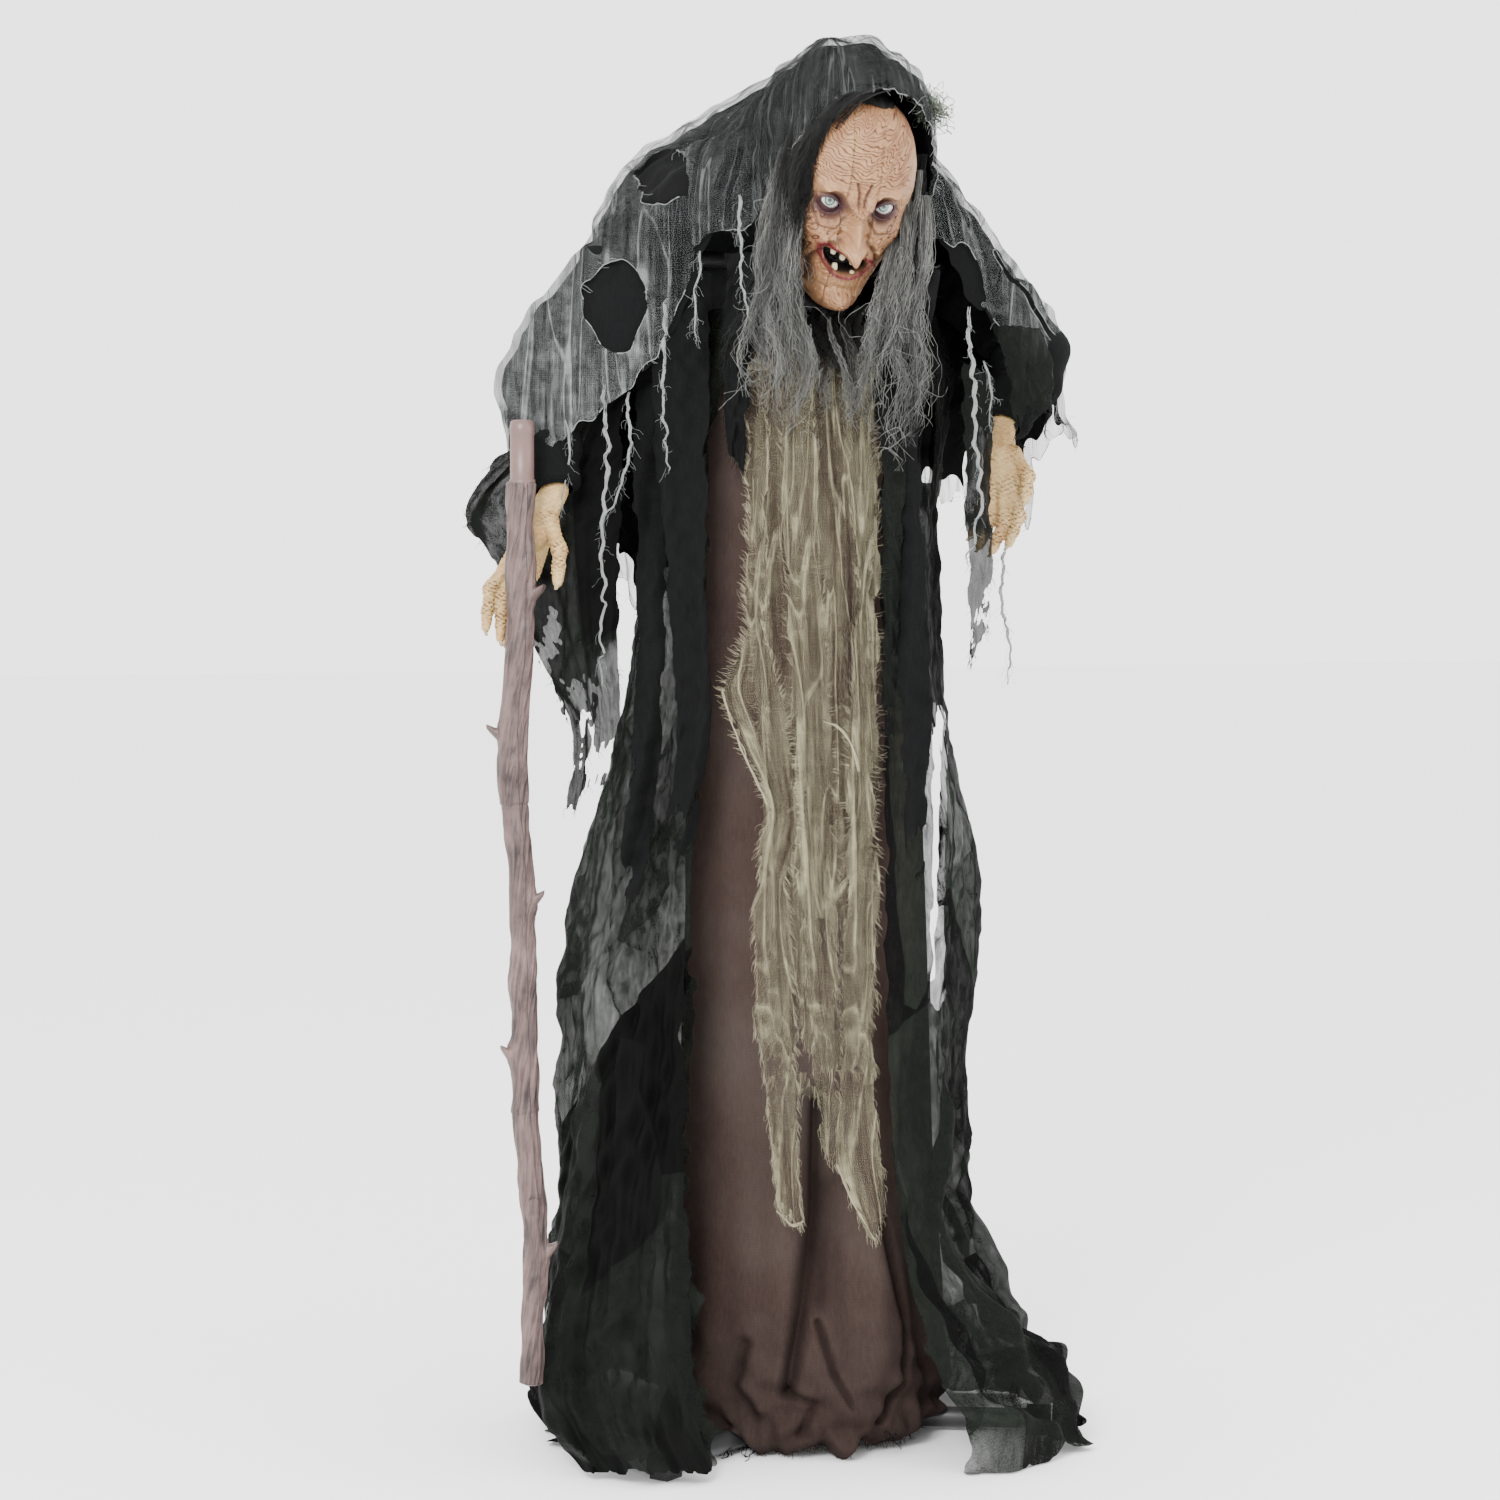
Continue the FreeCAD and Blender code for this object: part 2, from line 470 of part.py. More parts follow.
def make_head():
    keep("neck_shaft", in_head(fuse(cylinder("shaft_radius", 92, (0, 0, "-strap_top - strap_thick - 12")))))
    keep("head_mount_disc", in_head(tube("mount_disc", 36, "shaft_radius + turning_slip", 4, (0, 0, 0))))
    disc = nodes[-1]
    lean = math.radians(size("head_lean"))
    disc.setExpression("Placement.Base.y", bound(f"-head_forward + 100 * {math.sin(lean):.6f}"))
    disc.setExpression("Placement.Base.z", bound(f"head_height - 100 * {math.cos(lean):.6f}"))

    skull = cut(ellipsoid("skull_wide", "skull_deep", "skull_high"),
                ellipsoid("skull_wide - skin", "skull_deep - skin", "skull_high - skin"),
                block(200, 220, 60, (-100, -110, -164)))
    nose = limb([Vector(0, -88, 12), Vector(0, -106, -14), Vector(0, -124, -42)], [11, 14, 9])
    chin = limb([Vector(-14, -70, -98), Vector(0, -88, -112), Vector(14, -70, -98)], [15, 13, 15])
    brow = limb([Vector(-34, -72, 40), Vector(0, -86, 30), Vector(34, -72, 40)], [13, 12, 13])
    hollow = ellipsoid("skull_wide - skin", "skull_deep - skin", "skull_high - skin")
    features = cut(fuse(feature(nose), feature(chin), feature(brow)), hollow)
    eye_holes = [ellipsoid("eye_radius + 2", "eye_radius + 2", "eye_radius + 2",
                           (f"{side} * eye_apart", "-eye_forward", "eye_up")) for side in (-1, 1)]
    mouth = block(46, 70, 26, (-23, -130, -78))
    keep("head_shell", on_head(cut(fuse(skull, features), *eye_holes, mouth)))
    for name, side in SIDES.items():
        keep(f"{name}_eye", on_head(fuse(ellipsoid(
            "eye_radius", "eye_radius", "eye_radius", (f"{side} * eye_apart", "-eye_forward", "eye_up")))))
    keep("eye_lamps", on_head(fuse(*[
        cylinder(2.5, 9, (f"{side} * eye_apart", "-eye_forward + eye_radius + 0.5", "eye_up"), ALONG_Y)
        for side in (-1, 1)])))
    teeth = [block(7, 10, 9, (x, -64, z)) for x, z in ((-16, -61), (-3, -62), (9, -61), (-10, -79), (6, -79))]
    keep("mouth_insert", on_head(fuse(block(44, 3, 30, (-22, -55, -80)), *teeth)))

    cap = cut(ellipsoid(84, 104, 130, (0, 6, 8)), ellipsoid(77, 97, 124, (0, 6, 8)),
              block(300, 200, 400, (-150, -220, -200)), block(300, 300, 100, (-150, -150, -190)))
    locks = [feature(limb([Vector(side * 82, -22, -55), Vector(side * 86, -30, -120),
                           Vector(side * 84, -42, -170)], [14, 15, 9])) for side in (-1, 1)]
    inside = ellipsoid("skull_wide + 1.5", "skull_deep + 1.5", "skull_high + 1.5")
    keep("wig", on_head(cut(fuse(cap, *locks), inside)))
    hood = cut(
        ellipsoid("hood_wide", "hood_deep", "hood_high", (0, "hood_back", "hood_up")),
        ellipsoid("hood_wide - cloth", "hood_deep - cloth", "hood_high - cloth",
                  (0, "hood_back", "hood_up")),
        block(300, 200, 400, (-150, -250, -200)), block(300, 400, 200, (-150, -200, -210)))
    keep("hood", on_head(hood))


# ---------------------------------------------------------------- arms and cane

ARMS = {  # elbow, wrist, end of the rod in the palm, knuckles
    "right": (Vector(-345, 10, 1290), Vector(-352, -40, 1175), Vector(-382, -45, 1120),
              Vector(-390, -35, 1085)),
    "left": (Vector(290, -50, 1360), Vector(228, -95, 1262), Vector(217, -108, 1225),
             Vector(208, -116, 1192)),
}
GRIP = Vector(-384, -42, 1112)
FINGERS = {  # each finger and the thumb, from its root outwards
    "right": [
        [Vector(-406, -30, 1088), Vector(-430, -34, 1055), Vector(-444, -56, 1008)],
        [Vector(-400, -28, 1082), Vector(-420, -28, 1040), Vector(-432, -46, 995)],
        [Vector(-390, -26, 1078), Vector(-402, -20, 1035), Vector(-412, -38, 990)],
        [Vector(-378, -28, 1080), Vector(-384, -20, 1042), Vector(-390, -34, 1004)],
        [Vector(-366, -58, 1138), Vector(-366, -86, 1105), Vector(-378, -104, 1066)],
    ],
    "left": [
        [Vector(222, -128, 1188), Vector(222, -142, 1150), Vector(208, -146, 1112)],
        [Vector(212, -122, 1184), Vector(206, -132, 1142), Vector(194, -132, 1104)],
        [Vector(204, -114, 1184), Vector(196, -118, 1144), Vector(186, -114, 1110)],
        [Vector(200, -104, 1190), Vector(192, -104, 1156), Vector(184, -100, 1126)],
        [Vector(228, -118, 1230), Vector(234, -140, 1200), Vector(226, -152, 1170)],
    ],
}


def grip_screw(spare):
    """The screw that holds the cane in the palm, or, with some spare, the room it takes."""
    axis = Vector(-size("cane_side"), -size("cane_front"), GRIP.z)
    way = (GRIP - axis).normalize()
    shank = Part.makeCylinder(2 + spare, 28, axis + way * 14, way)
    return shank.fuse(Part.makeCylinder(4 + spare, 2.6, axis + way * 12.3, way))


def make_arm(name, side):
    elbow, wrist, rod_end, knuckles = ARMS[name]
    shoulder = Vector(side * size("shoulder_out"), size("bar_back"), size("bar_height"))
    start = Vector(side * size("rod_start"), size("bar_back"), size("bar_height"))
    path = [start, shoulder, elbow, wrist, rod_end]
    rod = bent_solid(path, size("rod_radius"), 25)
    room = bent_solid(path, size("rod_radius") + 0.25, 25)
    room = room.fuse(Part.makeSphere(size("rod_radius") + 0.6, rod_end))
    keep(f"{name}_arm_rod", feature(rod))

    sleeve = limb([shoulder, elbow, wrist], [42, 36, 25])
    plane = 198
    inner_side = Part.makeBox(2 * plane, 300, 600, Vector(-plane, -200, 1000))
    wrist_way = (rod_end - wrist).normalize()
    hand_room = Part.makeCylinder(40, 60, wrist + wrist_way * 4, wrist_way)
    keep(f"{name}_sleeve", feature(sleeve.cut([inner_side, hand_room, room])))

    palm = limb([wrist + wrist_way * 22, rod_end, knuckles], [17, 20, 21])
    fingers = [limb(points, [10, 8.5, 6]) for points in FINGERS[name]]
    taken = [room, grip_screw(0.1)] if side < 0 else [room]
    keep(f"{name}_hand", feature(palm.fuse(fingers).cut(taken)))


def make_drapes():
    """The hanging sheer sleeve ends."""
    keep("right_sleeve_drape", block(95, "cloth", 370, (-335, 38, 880)))
    keep("left_sleeve_drape", block(90, "cloth", 370, (240, 6, 930)))


def make_cane():
    centre = ("-cane_side", "-cane_front")

    def section(outer, foot, top):
        return cylinder(outer, f"{top} - ({foot})", (*centre, foot))

    spigot = 24
    keep("cane_top", cut(
        fuse(section(18, "cane_high_joint", "cane_shoulder"), section(14, "cane_shoulder - 1", "cane_top")),
        section("18 - cane_wall", "cane_high_joint - 1", "cane_shoulder - 6"),
        section("14 - cane_wall", "cane_shoulder - 8", "cane_top - 4"), feature(grip_screw(0.1))))
    keep("cane_middle", cut(
        fuse(section(17, "cane_low_joint", "cane_high_joint"),
             section("15 - slip", "cane_high_joint - 2", f"cane_high_joint + {spigot}")),
        section("17 - cane_wall", "cane_low_joint - 1", "cane_high_joint - 6"),
        section("15 - 2 * cane_wall", "cane_high_joint - 8", f"cane_high_joint + {spigot + 1}")))
    keep("cane_bottom", cut(
        fuse(section(16, "cane_foot", "cane_low_joint"),
             section("14 - slip", "cane_low_joint - 2", f"cane_low_joint + {spigot}")),
        section("16 - cane_wall", "cane_foot + 4", "cane_low_joint - 6"),
        section("14 - 2 * cane_wall", "cane_low_joint - 8", f"cane_low_joint + {spigot + 1}")))
    keep("cane_screw", feature(grip_screw(0)))


# ---------------------------------------------------------------- clothes


def skirt_loft(levels, inset):
    """A ruled loft through ellipses of (height, half width, half depth, x, y), inset all round."""
    rings = []
    for height, wide, deep, x, y in levels:
        ring = doc.addObject("Part::Ellipse", "hoop")
        ring.setExpression("MajorRadius", bound(f"{wide} - {inset}"))
        ring.setExpression("MinorRadius", bound(f"{deep} - {inset}"))
        rings.append(put(ring, (x, y, height)))
    loft = doc.addObject("Part::Loft", "skirt")
    loft.Sections = rings
    loft.Solid = True
    loft.Ruled = True
    return loft


def skirt(levels):
    """A shell of cloth through the levels, open at both ends."""
    low, high = levels[0], levels[-1]
    longer = [(f"{low[0]} - 2", *low[1:]), *levels[1:-1], (f"{high[0]} + 2", *high[1:])]
    return cut(skirt_loft(levels, 0), skirt_loft(longer, "cloth"))


def front_turned(shape):
    """Turns a shape from straight ahead to where the robe is open."""
    made = fuse(shape)
    made.Placement = Placement(Vector(), Rotation(Vector(0, 0, 1), -size("front_turn")))
    return made


def leg_notches():
    """Room over the three legs at the hem."""
    return [leg_block(100, 350, "leg_notch", "leg_notch_height + 10", -10, turn) for turn in LEGS.values()]


def make_clothes():
    dress = [("dress_foot", 172, 160, 0, 0), (300, 160, 140, 0, 0), (1000, 150, 112, 0, 0),
             ("dress_top", 140, 105, 0, 0)]
    robe = [("dress_foot", 335, 300, 0, 0), (130, 290, 250, -30, 15), (300, 245, 215, -48, 20),
            (544, 250, 215, -45, 20), (1000, 170, 143, -10, 3), ("dress_top", 158, 128, 0, 0)]
    front = front_turned(block("2 * robe_opening", 400, 1500, ("-robe_opening", -400, -20)))
    keep("dress", cut(skirt(dress), *leg_notches()))
    keep("robe", cut(skirt(robe), *leg_notches(), front))

    body = doc.addObject("PartDesign::Body", "apron")
    sketch = body.newObject("Sketcher::SketchObject", "fall")
    sketch.AttachmentSupport = (origin_plane(body, "YZ_Plane"), [""])
    sketch.MapMode = "FlatFace"
    outline = [(-134, 1335), (-134, 1000), (-158, 270), (-162, 270), (-138, 1000), (-138, 1335)]
    for k, point in enumerate(outline):
        after = outline[(k + 1) % len(outline)]
        sketch.addGeometry(Part.LineSegment(Vector(*point, 0), Vector(*after, 0)), False)
        sketch.addConstraint(Sketcher.Constraint("Block", k))
    pad = body.newObject("PartDesign::Pad", "width")
    pad.Profile = sketch
    pad.setExpression("Length", bound("2 * apron_half"))
    pad.Midplane = True
    body.Tip = pad
    keep("gauze_apron", front_turned(body))

    shawl = ("shawl_wide", "shawl_deep", "shawl_high")
    centre = (0, "shawl_back", "shawl_height")
    neck_room = in_head(fuse(cylinder("hair_room", 350, (0, 0, -300)),
                             ellipsoid("head_room", "head_room", "hood_high + 6", (0, 0, "hood_up"))))
    keep("shawl", cut(
        ellipsoid(*shawl, centre), ellipsoid(*[f"{text} - cloth" for text in shawl], centre),
        block(600, 600, 400, (-300, -300, "shawl_foot - 400")), neck_room,
        cylinder("bar_radius + 3", 500, (-250, "bar_back", "bar_height"), ALONG_X)))


def faulty(shape):
    """Why a sub-part can't be written, or nothing."""
    if shape.Shape.isNull():
        return "has no shape"
    if not shape.Shape.isValid():
        return "has an invalid shape"
    if not shape.Shape.Solids:
        return "has no solid"
    return ""


def write_parts():
    doc.recompute()
    problems = [f"{item.Name} is {item.State}" for item in doc.Objects
                if {"Invalid", "Error"} & set(item.State)]
    problems += [f"{shape.Label} {faulty(shape)}" for shape in nodes if faulty(shape)]
    if problems:
        sys.exit("\n".join(problems))
    os.makedirs("parts", exist_ok=True)
    for old in os.listdir("parts"):
        os.remove(os.path.join("parts", old))
    for shape in nodes:
        shape.Shape.exportStep(os.path.join("parts", f"{shape.Label}.step"))
    print(f"{len(nodes)} sub-parts, axis distance {gear_distance():.2f} mm")


make_base()
make_waist()
make_control_box()
make_torso()
make_head()
for arm_name, arm_side in SIDES.items():
    make_arm(arm_name, arm_side)
make_drapes()
make_cane()
make_clothes()
write_parts()
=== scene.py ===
import json
import math

import bmesh
import bpy
import numpy as np
from mathutils import Matrix, Vector


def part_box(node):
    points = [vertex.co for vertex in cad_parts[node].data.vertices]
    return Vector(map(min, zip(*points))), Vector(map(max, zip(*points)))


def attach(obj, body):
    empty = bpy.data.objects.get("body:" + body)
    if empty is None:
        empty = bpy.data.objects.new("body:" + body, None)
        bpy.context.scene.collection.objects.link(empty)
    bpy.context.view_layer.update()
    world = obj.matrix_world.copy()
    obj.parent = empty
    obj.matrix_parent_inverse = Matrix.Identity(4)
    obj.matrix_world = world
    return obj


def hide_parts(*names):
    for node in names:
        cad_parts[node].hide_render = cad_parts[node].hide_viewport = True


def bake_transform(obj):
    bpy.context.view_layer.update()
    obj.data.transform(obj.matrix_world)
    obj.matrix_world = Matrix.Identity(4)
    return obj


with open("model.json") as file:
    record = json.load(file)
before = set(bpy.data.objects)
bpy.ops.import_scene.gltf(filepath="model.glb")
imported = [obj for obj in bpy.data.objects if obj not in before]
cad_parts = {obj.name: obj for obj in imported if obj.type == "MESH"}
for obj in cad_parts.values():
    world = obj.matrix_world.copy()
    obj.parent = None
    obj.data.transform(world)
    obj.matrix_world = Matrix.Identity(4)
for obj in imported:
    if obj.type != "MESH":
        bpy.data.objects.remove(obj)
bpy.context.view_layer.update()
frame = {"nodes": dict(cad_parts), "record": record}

LEAN = math.radians(25)          # how far the head leans forward
HEAD_CENTRE = np.array([-0.020, -0.140, 1.530])
YAW = math.radians(12)           # and how far it looks to the figure's right
SHOULDER_X = 0.190               # cloth beyond this is cut into a piece over an arm
CAMERA_AWAY, CAMERA_UP, CAMERA_ASIDE = 4.2, 1.05, -0.069
CAMERA_AIM, CAMERA_LENS, CAMERA_SENSOR = 0.857, 80.6, 36
HEAD_TURN = np.array(Matrix.Rotation(LEAN, 3, "X") @ Matrix.Rotation(-YAW, 3, "Z"))


def head_point(points):
    """Points of the leaning head frame, in the row frame."""
    return np.asarray(points, float) @ HEAD_TURN.T + HEAD_CENTRE


# ------------------------------------------------------------------ materials


class Shader:
    """A material whose nodes are added by short calls."""

    def __init__(self, name, **settings):
        self.material = bpy.data.materials.new(name)
        self.material.use_nodes = True
        self.tree = self.material.node_tree
        self.surface = self.tree.nodes["Principled BSDF"]
        for key, value in settings.items():
            self.surface.inputs[key.replace("_", " ")].default_value = value

    def node(self, kind, inputs=(), **settings):
        """A new node, with its inputs fed and its settings made."""
        made = self.tree.nodes.new("ShaderNode" + kind)
        for key, value in settings.items():
            setattr(made, key, value)
        for key, value in dict(inputs).items():
            self.feed(made.inputs[key], value)
        return made

    def feed(self, socket, value):
        """Links another node's output to an input, or sets the input to a plain value."""
        if isinstance(value, bpy.types.NodeSocket):
            self.tree.links.new(value, socket)
        else:
            socket.default_value = value

    def place(self, uv=False):
        """Where a point lies: on the cloth in metres, or in space."""
        made = self.node("TexCoord")
        return made.outputs["UV" if uv else "Object"]

    def stretched(self, vector, scale):
        """The place with each axis scaled."""
        return self.node("Mapping", {"Vector": vector, "Scale": scale}).outputs[0]

    def noise(self, vector, scale, detail=3.0, rough=0.5, distortion=0.0):
        """Cloudy noise from 0 to 1."""
        made = self.node("TexNoise", {"Vector": vector, "Scale": scale, "Detail": detail,
                                      "Roughness": rough, "Distortion": distortion})
        return made.outputs["Fac"]

    def maths(self, operation, a, b=0.0, clamp=False):
        """One sum of two values."""
        made = self.node("Math", operation=operation, use_clamp=clamp)
        self.feed(made.inputs[0], a)
        self.feed(made.inputs[1], b)
        return made.outputs[0]

    def times(self, a, b, clamp=False):
        return self.maths("MULTIPLY", a, b, clamp)

    def plus(self, a, b, clamp=False):
        return self.maths("ADD", a, b, clamp)

    def off_middle(self, value):
        """How far a value from 0 to 1 lies from its middle."""
        return self.maths("ABSOLUTE", self.maths("SUBTRACT", value, 0.5))

    def ranged(self, value, low, high, to_low=0.0, to_high=1.0):
        """A value moved from one range to another, and held inside it."""
        made = self.node("MapRange", {"Value": value, "From Min": low, "From Max": high,
                                      "To Min": to_low, "To Max": to_high})
        return made.outputs[0]

    def mix(self, factor, a, b):
        """A colour between two colours."""
        made = self.node("Mix", data_type="RGBA")
        self.feed(made.inputs[0], factor)
        for socket, colour in ((made.inputs[6], a), (made.inputs[7], b)):
            self.feed(socket, (*colour, 1) if isinstance(colour, tuple) else colour)
        return made.outputs[2]

    def painted(self, name):
        """A value painted on the mesh's points."""
        return self.node("Attribute", attribute_name=name).outputs["Fac"]

    def bump(self, height, strength, distance):
        """Raises the surface by a height from 0 to 1."""
        made = self.node("Bump", {"Height": height, "Strength": strength, "Distance": distance})
        self.tree.links.new(made.outputs[0], self.surface.inputs["Normal"])

    def done(self, colour=None, alpha=None, rough=None):
        """Feeds the surface and gives the finished material."""
        for key, value in (("Base Color", colour), ("Alpha", alpha), ("Roughness", rough)):
            if value is not None:
                self.feed(self.surface.inputs[key], (*value, 1) if isinstance(value, tuple) else value)
        return self.material


def threads_across(s, coordinate, pitch, width, wander):
    """A row of soft-edged threads along one coordinate of the cloth."""
    turns = s.plus(s.maths("DIVIDE", coordinate, pitch), wander)
    offset = s.off_middle(s.maths("FRACT", turns))
    return s.ranged(offset, width / 2 + 0.12, width / 2 - 0.12)


def gauze(name, dark, light, pitch, width, thin, thick, bands, fade=None):
    """Open-weave cloth: crossed threads that bunch into strings and part, in bands along its length."""
    s = Shader(name, Roughness=0.95, Specular_IOR_Level=0.06)
    where = s.place(uv=True)
    split = s.node("SeparateXYZ", {"Vector": where})
    drift = s.ranged(s.noise(where, 30, 2), 0, 1, -1.2, 1.2)
    jitter = s.ranged(s.noise(where, 260, 2), 0, 1, -0.2, 0.2)
    wander = s.plus(drift, jitter)
    warp = threads_across(s, split.outputs[0], pitch, width, wander)
    weft = threads_across(s, split.outputs[1], pitch, width, wander)
    weave = s.maths("MAXIMUM", warp, weft)
    patches = s.noise(s.stretched(where, (bands, bands / 5, 1)), 1.0, 4, 0.6, 0.5)
    bunch = s.noise(s.stretched(where, (150, 7, 1)), 1.0, 5, 0.66, 0.5)
    string = s.noise(s.stretched(where, (26, 3.2, 1)), 1.0, 2, 0.5, 0.8)
    strings = s.ranged(s.off_middle(string), 0.030, 0.0)
    cover = s.ranged(s.plus(patches, s.times(bunch, 0.5)), 0.55, 0.95, thin, thick)
    body = s.plus(s.times(weave, 0.22), s.times(strings, 0.45))
    alpha = s.plus(body, cover, clamp=True)
    fibres = s.plus(s.times(weave, 0.14), s.ranged(bunch, 0.30, 0.72, 0.0, 0.8))
    mottle = s.ranged(s.noise(where, 42, 4, 0.65), 0.35, 0.65, 0.45, 1.25)
    tone = s.times(s.plus(fibres, s.times(strings, 0.55)), mottle, clamp=True)
    if fade:
        tone = s.times(tone, s.ranged(split.outputs[1], *fade))
    s.bump(s.plus(s.plus(weave, bunch), s.times(strings, 2.0)), 0.6, 0.0018)
    return s.done(s.mix(tone, dark, light), alpha)


def sheer(name, thin, thick, light):
    """Thin crinkled cloth, pressed into facets: greener where single, near black where doubled."""
    s = Shader(name, Roughness=0.8, Specular_IOR_Level=0.05)
    where = s.place(uv=True)
    crinkle = s.noise(s.stretched(where, (110, 40, 1)), 1.0, 5, 0.62, 0.6)
    weave = s.noise(where, 800, 1)
    # two sets of patches, each tilted its own way, stand for cloth folded over itself
    ways, shares, creases = [], [], []
    for tilt, scale in ((0.50, (7.5, 3.0, 1)), (-0.62, (6.5, 2.8, 1))):
        ways.append(s.node("Mapping",
                           {"Vector": where, "Rotation": (0, 0, tilt), "Scale": scale}).outputs[0])
    for channel, way in enumerate(ways):
        patch = s.node("TexVoronoi", {"Vector": way, "Scale": 1.0}).outputs["Color"]
        shares.append(s.node("SeparateColor", {"Color": patch}).outputs[channel])
        edge = s.node("TexVoronoi", {"Vector": way, "Scale": 1.0}, feature="DISTANCE_TO_EDGE")
        creases.append(edge.outputs["Distance"])
    folded = s.ranged(s.plus(*shares), 0.5, 1.35)
    crease = s.ranged(s.maths("MINIMUM", *creases), 0.035, 0.0)
    grain = s.plus(s.times(crinkle, 0.6), s.times(weave, 0.4))
    single = s.ranged(grain, 0.36, 0.64, thick, thin)
    alpha = s.plus(single, s.times(s.plus(folded, s.times(crease, 0.5)), 0.2), clamp=True)
    s.bump(s.plus(crinkle, s.times(crease, 0.4)), 0.5, 0.004)
    pale = s.mix(s.times(crinkle, 1.2, clamp=True), (0.002, 0.0026, 0.002), light)
    return s.done(s.mix(folded, pale, (0.0012, 0.0013, 0.0012)), alpha)


def woven(name, dark, light, pitch, depth=0.0006, rough=0.92, dust=0.0):
    """Opaque plain-woven cloth, with worn and dusty patches."""
    s = Shader(name, Roughness=rough, Specular_IOR_Level=0.06)
    where = s.place(uv=True)
    split = s.node("SeparateXYZ", {"Vector": where})
    wander = s.ranged(s.noise(where, 120, 2), 0, 1, -0.8, 0.8)
    warp = threads_across(s, split.outputs[0], pitch, 0.5, wander)
    weft = threads_across(s, split.outputs[1], pitch, 0.5, wander)
    weave = s.plus(s.times(warp, 0.5), s.times(weft, 0.5))
    slub = s.noise(s.stretched(where, (260, 60, 1)), 1.0, 4, 0.7)
    worn = s.ranged(s.noise(where, 3.2, 4, 0.6), 0.42, 0.72)
    tone = s.plus(s.times(slub, 0.7), s.times(weave, 0.3), clamp=True)
    cloth = s.mix(tone, dark, light)
    dusty = s.mix(s.times(worn, dust), cloth, (0.10, 0.088, 0.078))
    s.bump(s.plus(weave, slub), 0.5, depth)
    return s.done(s.mix(s.painted("shade"), dusty, tuple(c * 0.3 for c in dark)))


def plain(name, colour, rough, metallic=0.0, grain=600.0, spread=0.25, depth=0.0002, **more):
    """Moulded, cast or coated stuff: a fine grain, a little colour drift and scuffs."""
    s = Shader(name, Metallic=metallic, **more)
    where = s.place()
    drift = s.noise(where, 14, 4)
    fine = s.noise(where, grain, 2)
    darker = tuple(c * (1 - spread) for c in colour)
    lighter = tuple(min(1, c * (1 + spread) + 0.01 * spread) for c in colour)
    s.bump(fine, 0.25, depth)
    wear = s.ranged(drift, 0.3, 0.7, rough - 0.08, rough + 0.08)
    return s.done(s.mix(drift, darker, lighter), rough=wear)


def skin(name, base, warm, vein_and_crease_shade):
    """Painted soft vinyl: blotches, veins and red lips, with painted shade in the creases, round the eye
    sockets and inside the mouth and nostrils.
    """
    s = Shader(name, Specular_IOR_Level=0.35, Subsurface_Weight=0.06, Subsurface_Scale=0.004)
    where = s.place()
    blotch = s.noise(where, 34, 5, 0.65)
    veins = s.noise(s.stretched(where, (60, 60, 120)), 1.0, 4, 0.7, 1.2)
    pores = s.noise(where, 900, 2)
    tone = s.mix(s.ranged(blotch, 0.35, 0.68), base, warm)
    # painted shade: the skin darkens along the painted crease lines; the same dark colour also tints the
    # veins
    crease_shaded = s.mix(s.times(s.painted("crease"), 0.95), tone, vein_and_crease_shade)
    mottled = s.mix(s.ranged(veins, 0.56, 0.72, 0, 0.35), crease_shaded, vein_and_crease_shade)
    # painted shade: dark purple round the eye sockets
    socket_shade = s.mix(s.painted("socket"), mottled, (0.022, 0.006, 0.012))
    lips = s.mix(s.painted("lip"), socket_shade, (0.085, 0.008, 0.010))
    # painted shade: near black inside the mouth and the nostrils
    inside = s.mix(s.painted("dark"), lips, (0.006, 0.003, 0.003))
    s.bump(s.plus(pores, s.times(veins, 2.0)), 0.35, 0.0006)
    return s.done(inside, rough=s.ranged(blotch, 0.3, 0.7, 0.46, 0.62))


def bark():
    """Cane plastic: a mauve-brown grain that winds up the stick."""
    s = Shader("cane_bark", Specular_IOR_Level=0.4)
    where = s.place(uv=True)
    fibres = s.noise(s.stretched(where, (150, 14, 1)), 1.0, 5, 0.7, 0.8)
    patches = s.noise(s.place(), 20, 4, 0.6)
    tone = s.ranged(s.plus(fibres, s.times(patches, 0.7)), 0.66, 1.04)
    s.bump(fibres, 0.9, 0.0035)
    return s.done(s.mix(tone, (0.012, 0.0062, 0.0058), (0.128, 0.081, 0.073)),
                  rough=s.ranged(fibres, 0.3, 0.7, 0.30, 0.52))


def hair_shader(name, dark, light):
    """Hair that varies from lock to lock by its painted tint."""
    s = Shader(name, Roughness=0.6, Specular_IOR_Level=0.2)
    where = s.place()
    streak = s.noise(s.stretched(where, (190, 190, 12)), 1.0, 3, 0.6)
    tone = s.times(s.ranged(streak, 0.30, 0.65, 0.25, 1.0), s.painted("tint"))
    return s.done(s.mix(tone, dark, light))


def iris_shader():
    """A glossy eye: veined white, pale grey-green iris with a dark rim, and a pupil."""
    s = Shader("eye_enamel", Roughness=0.08, Coat_Weight=0.6, Coat_Roughness=0.05)
    ring = s.painted("iris")
    rays = s.noise(s.place(), 1500, 2)
    white = s.mix(s.ranged(s.noise(s.place(), 260, 4, 0.7, 2), 0.56, 0.66), (0.46, 0.45, 0.42),
                  (0.30, 0.10, 0.08))
    iris = s.mix(rays, (0.035, 0.085, 0.075), (0.20, 0.29, 0.25))
    rim = s.mix(s.ranged(ring, 0.70, 0.95), iris, (0.006, 0.014, 0.014))
    outer = s.mix(s.ranged(ring, 0.98, 1.04), rim, white)
    return s.done(s.mix(s.ranged(ring, 0.36, 0.30), outer, (0.003, 0.003, 0.003)))


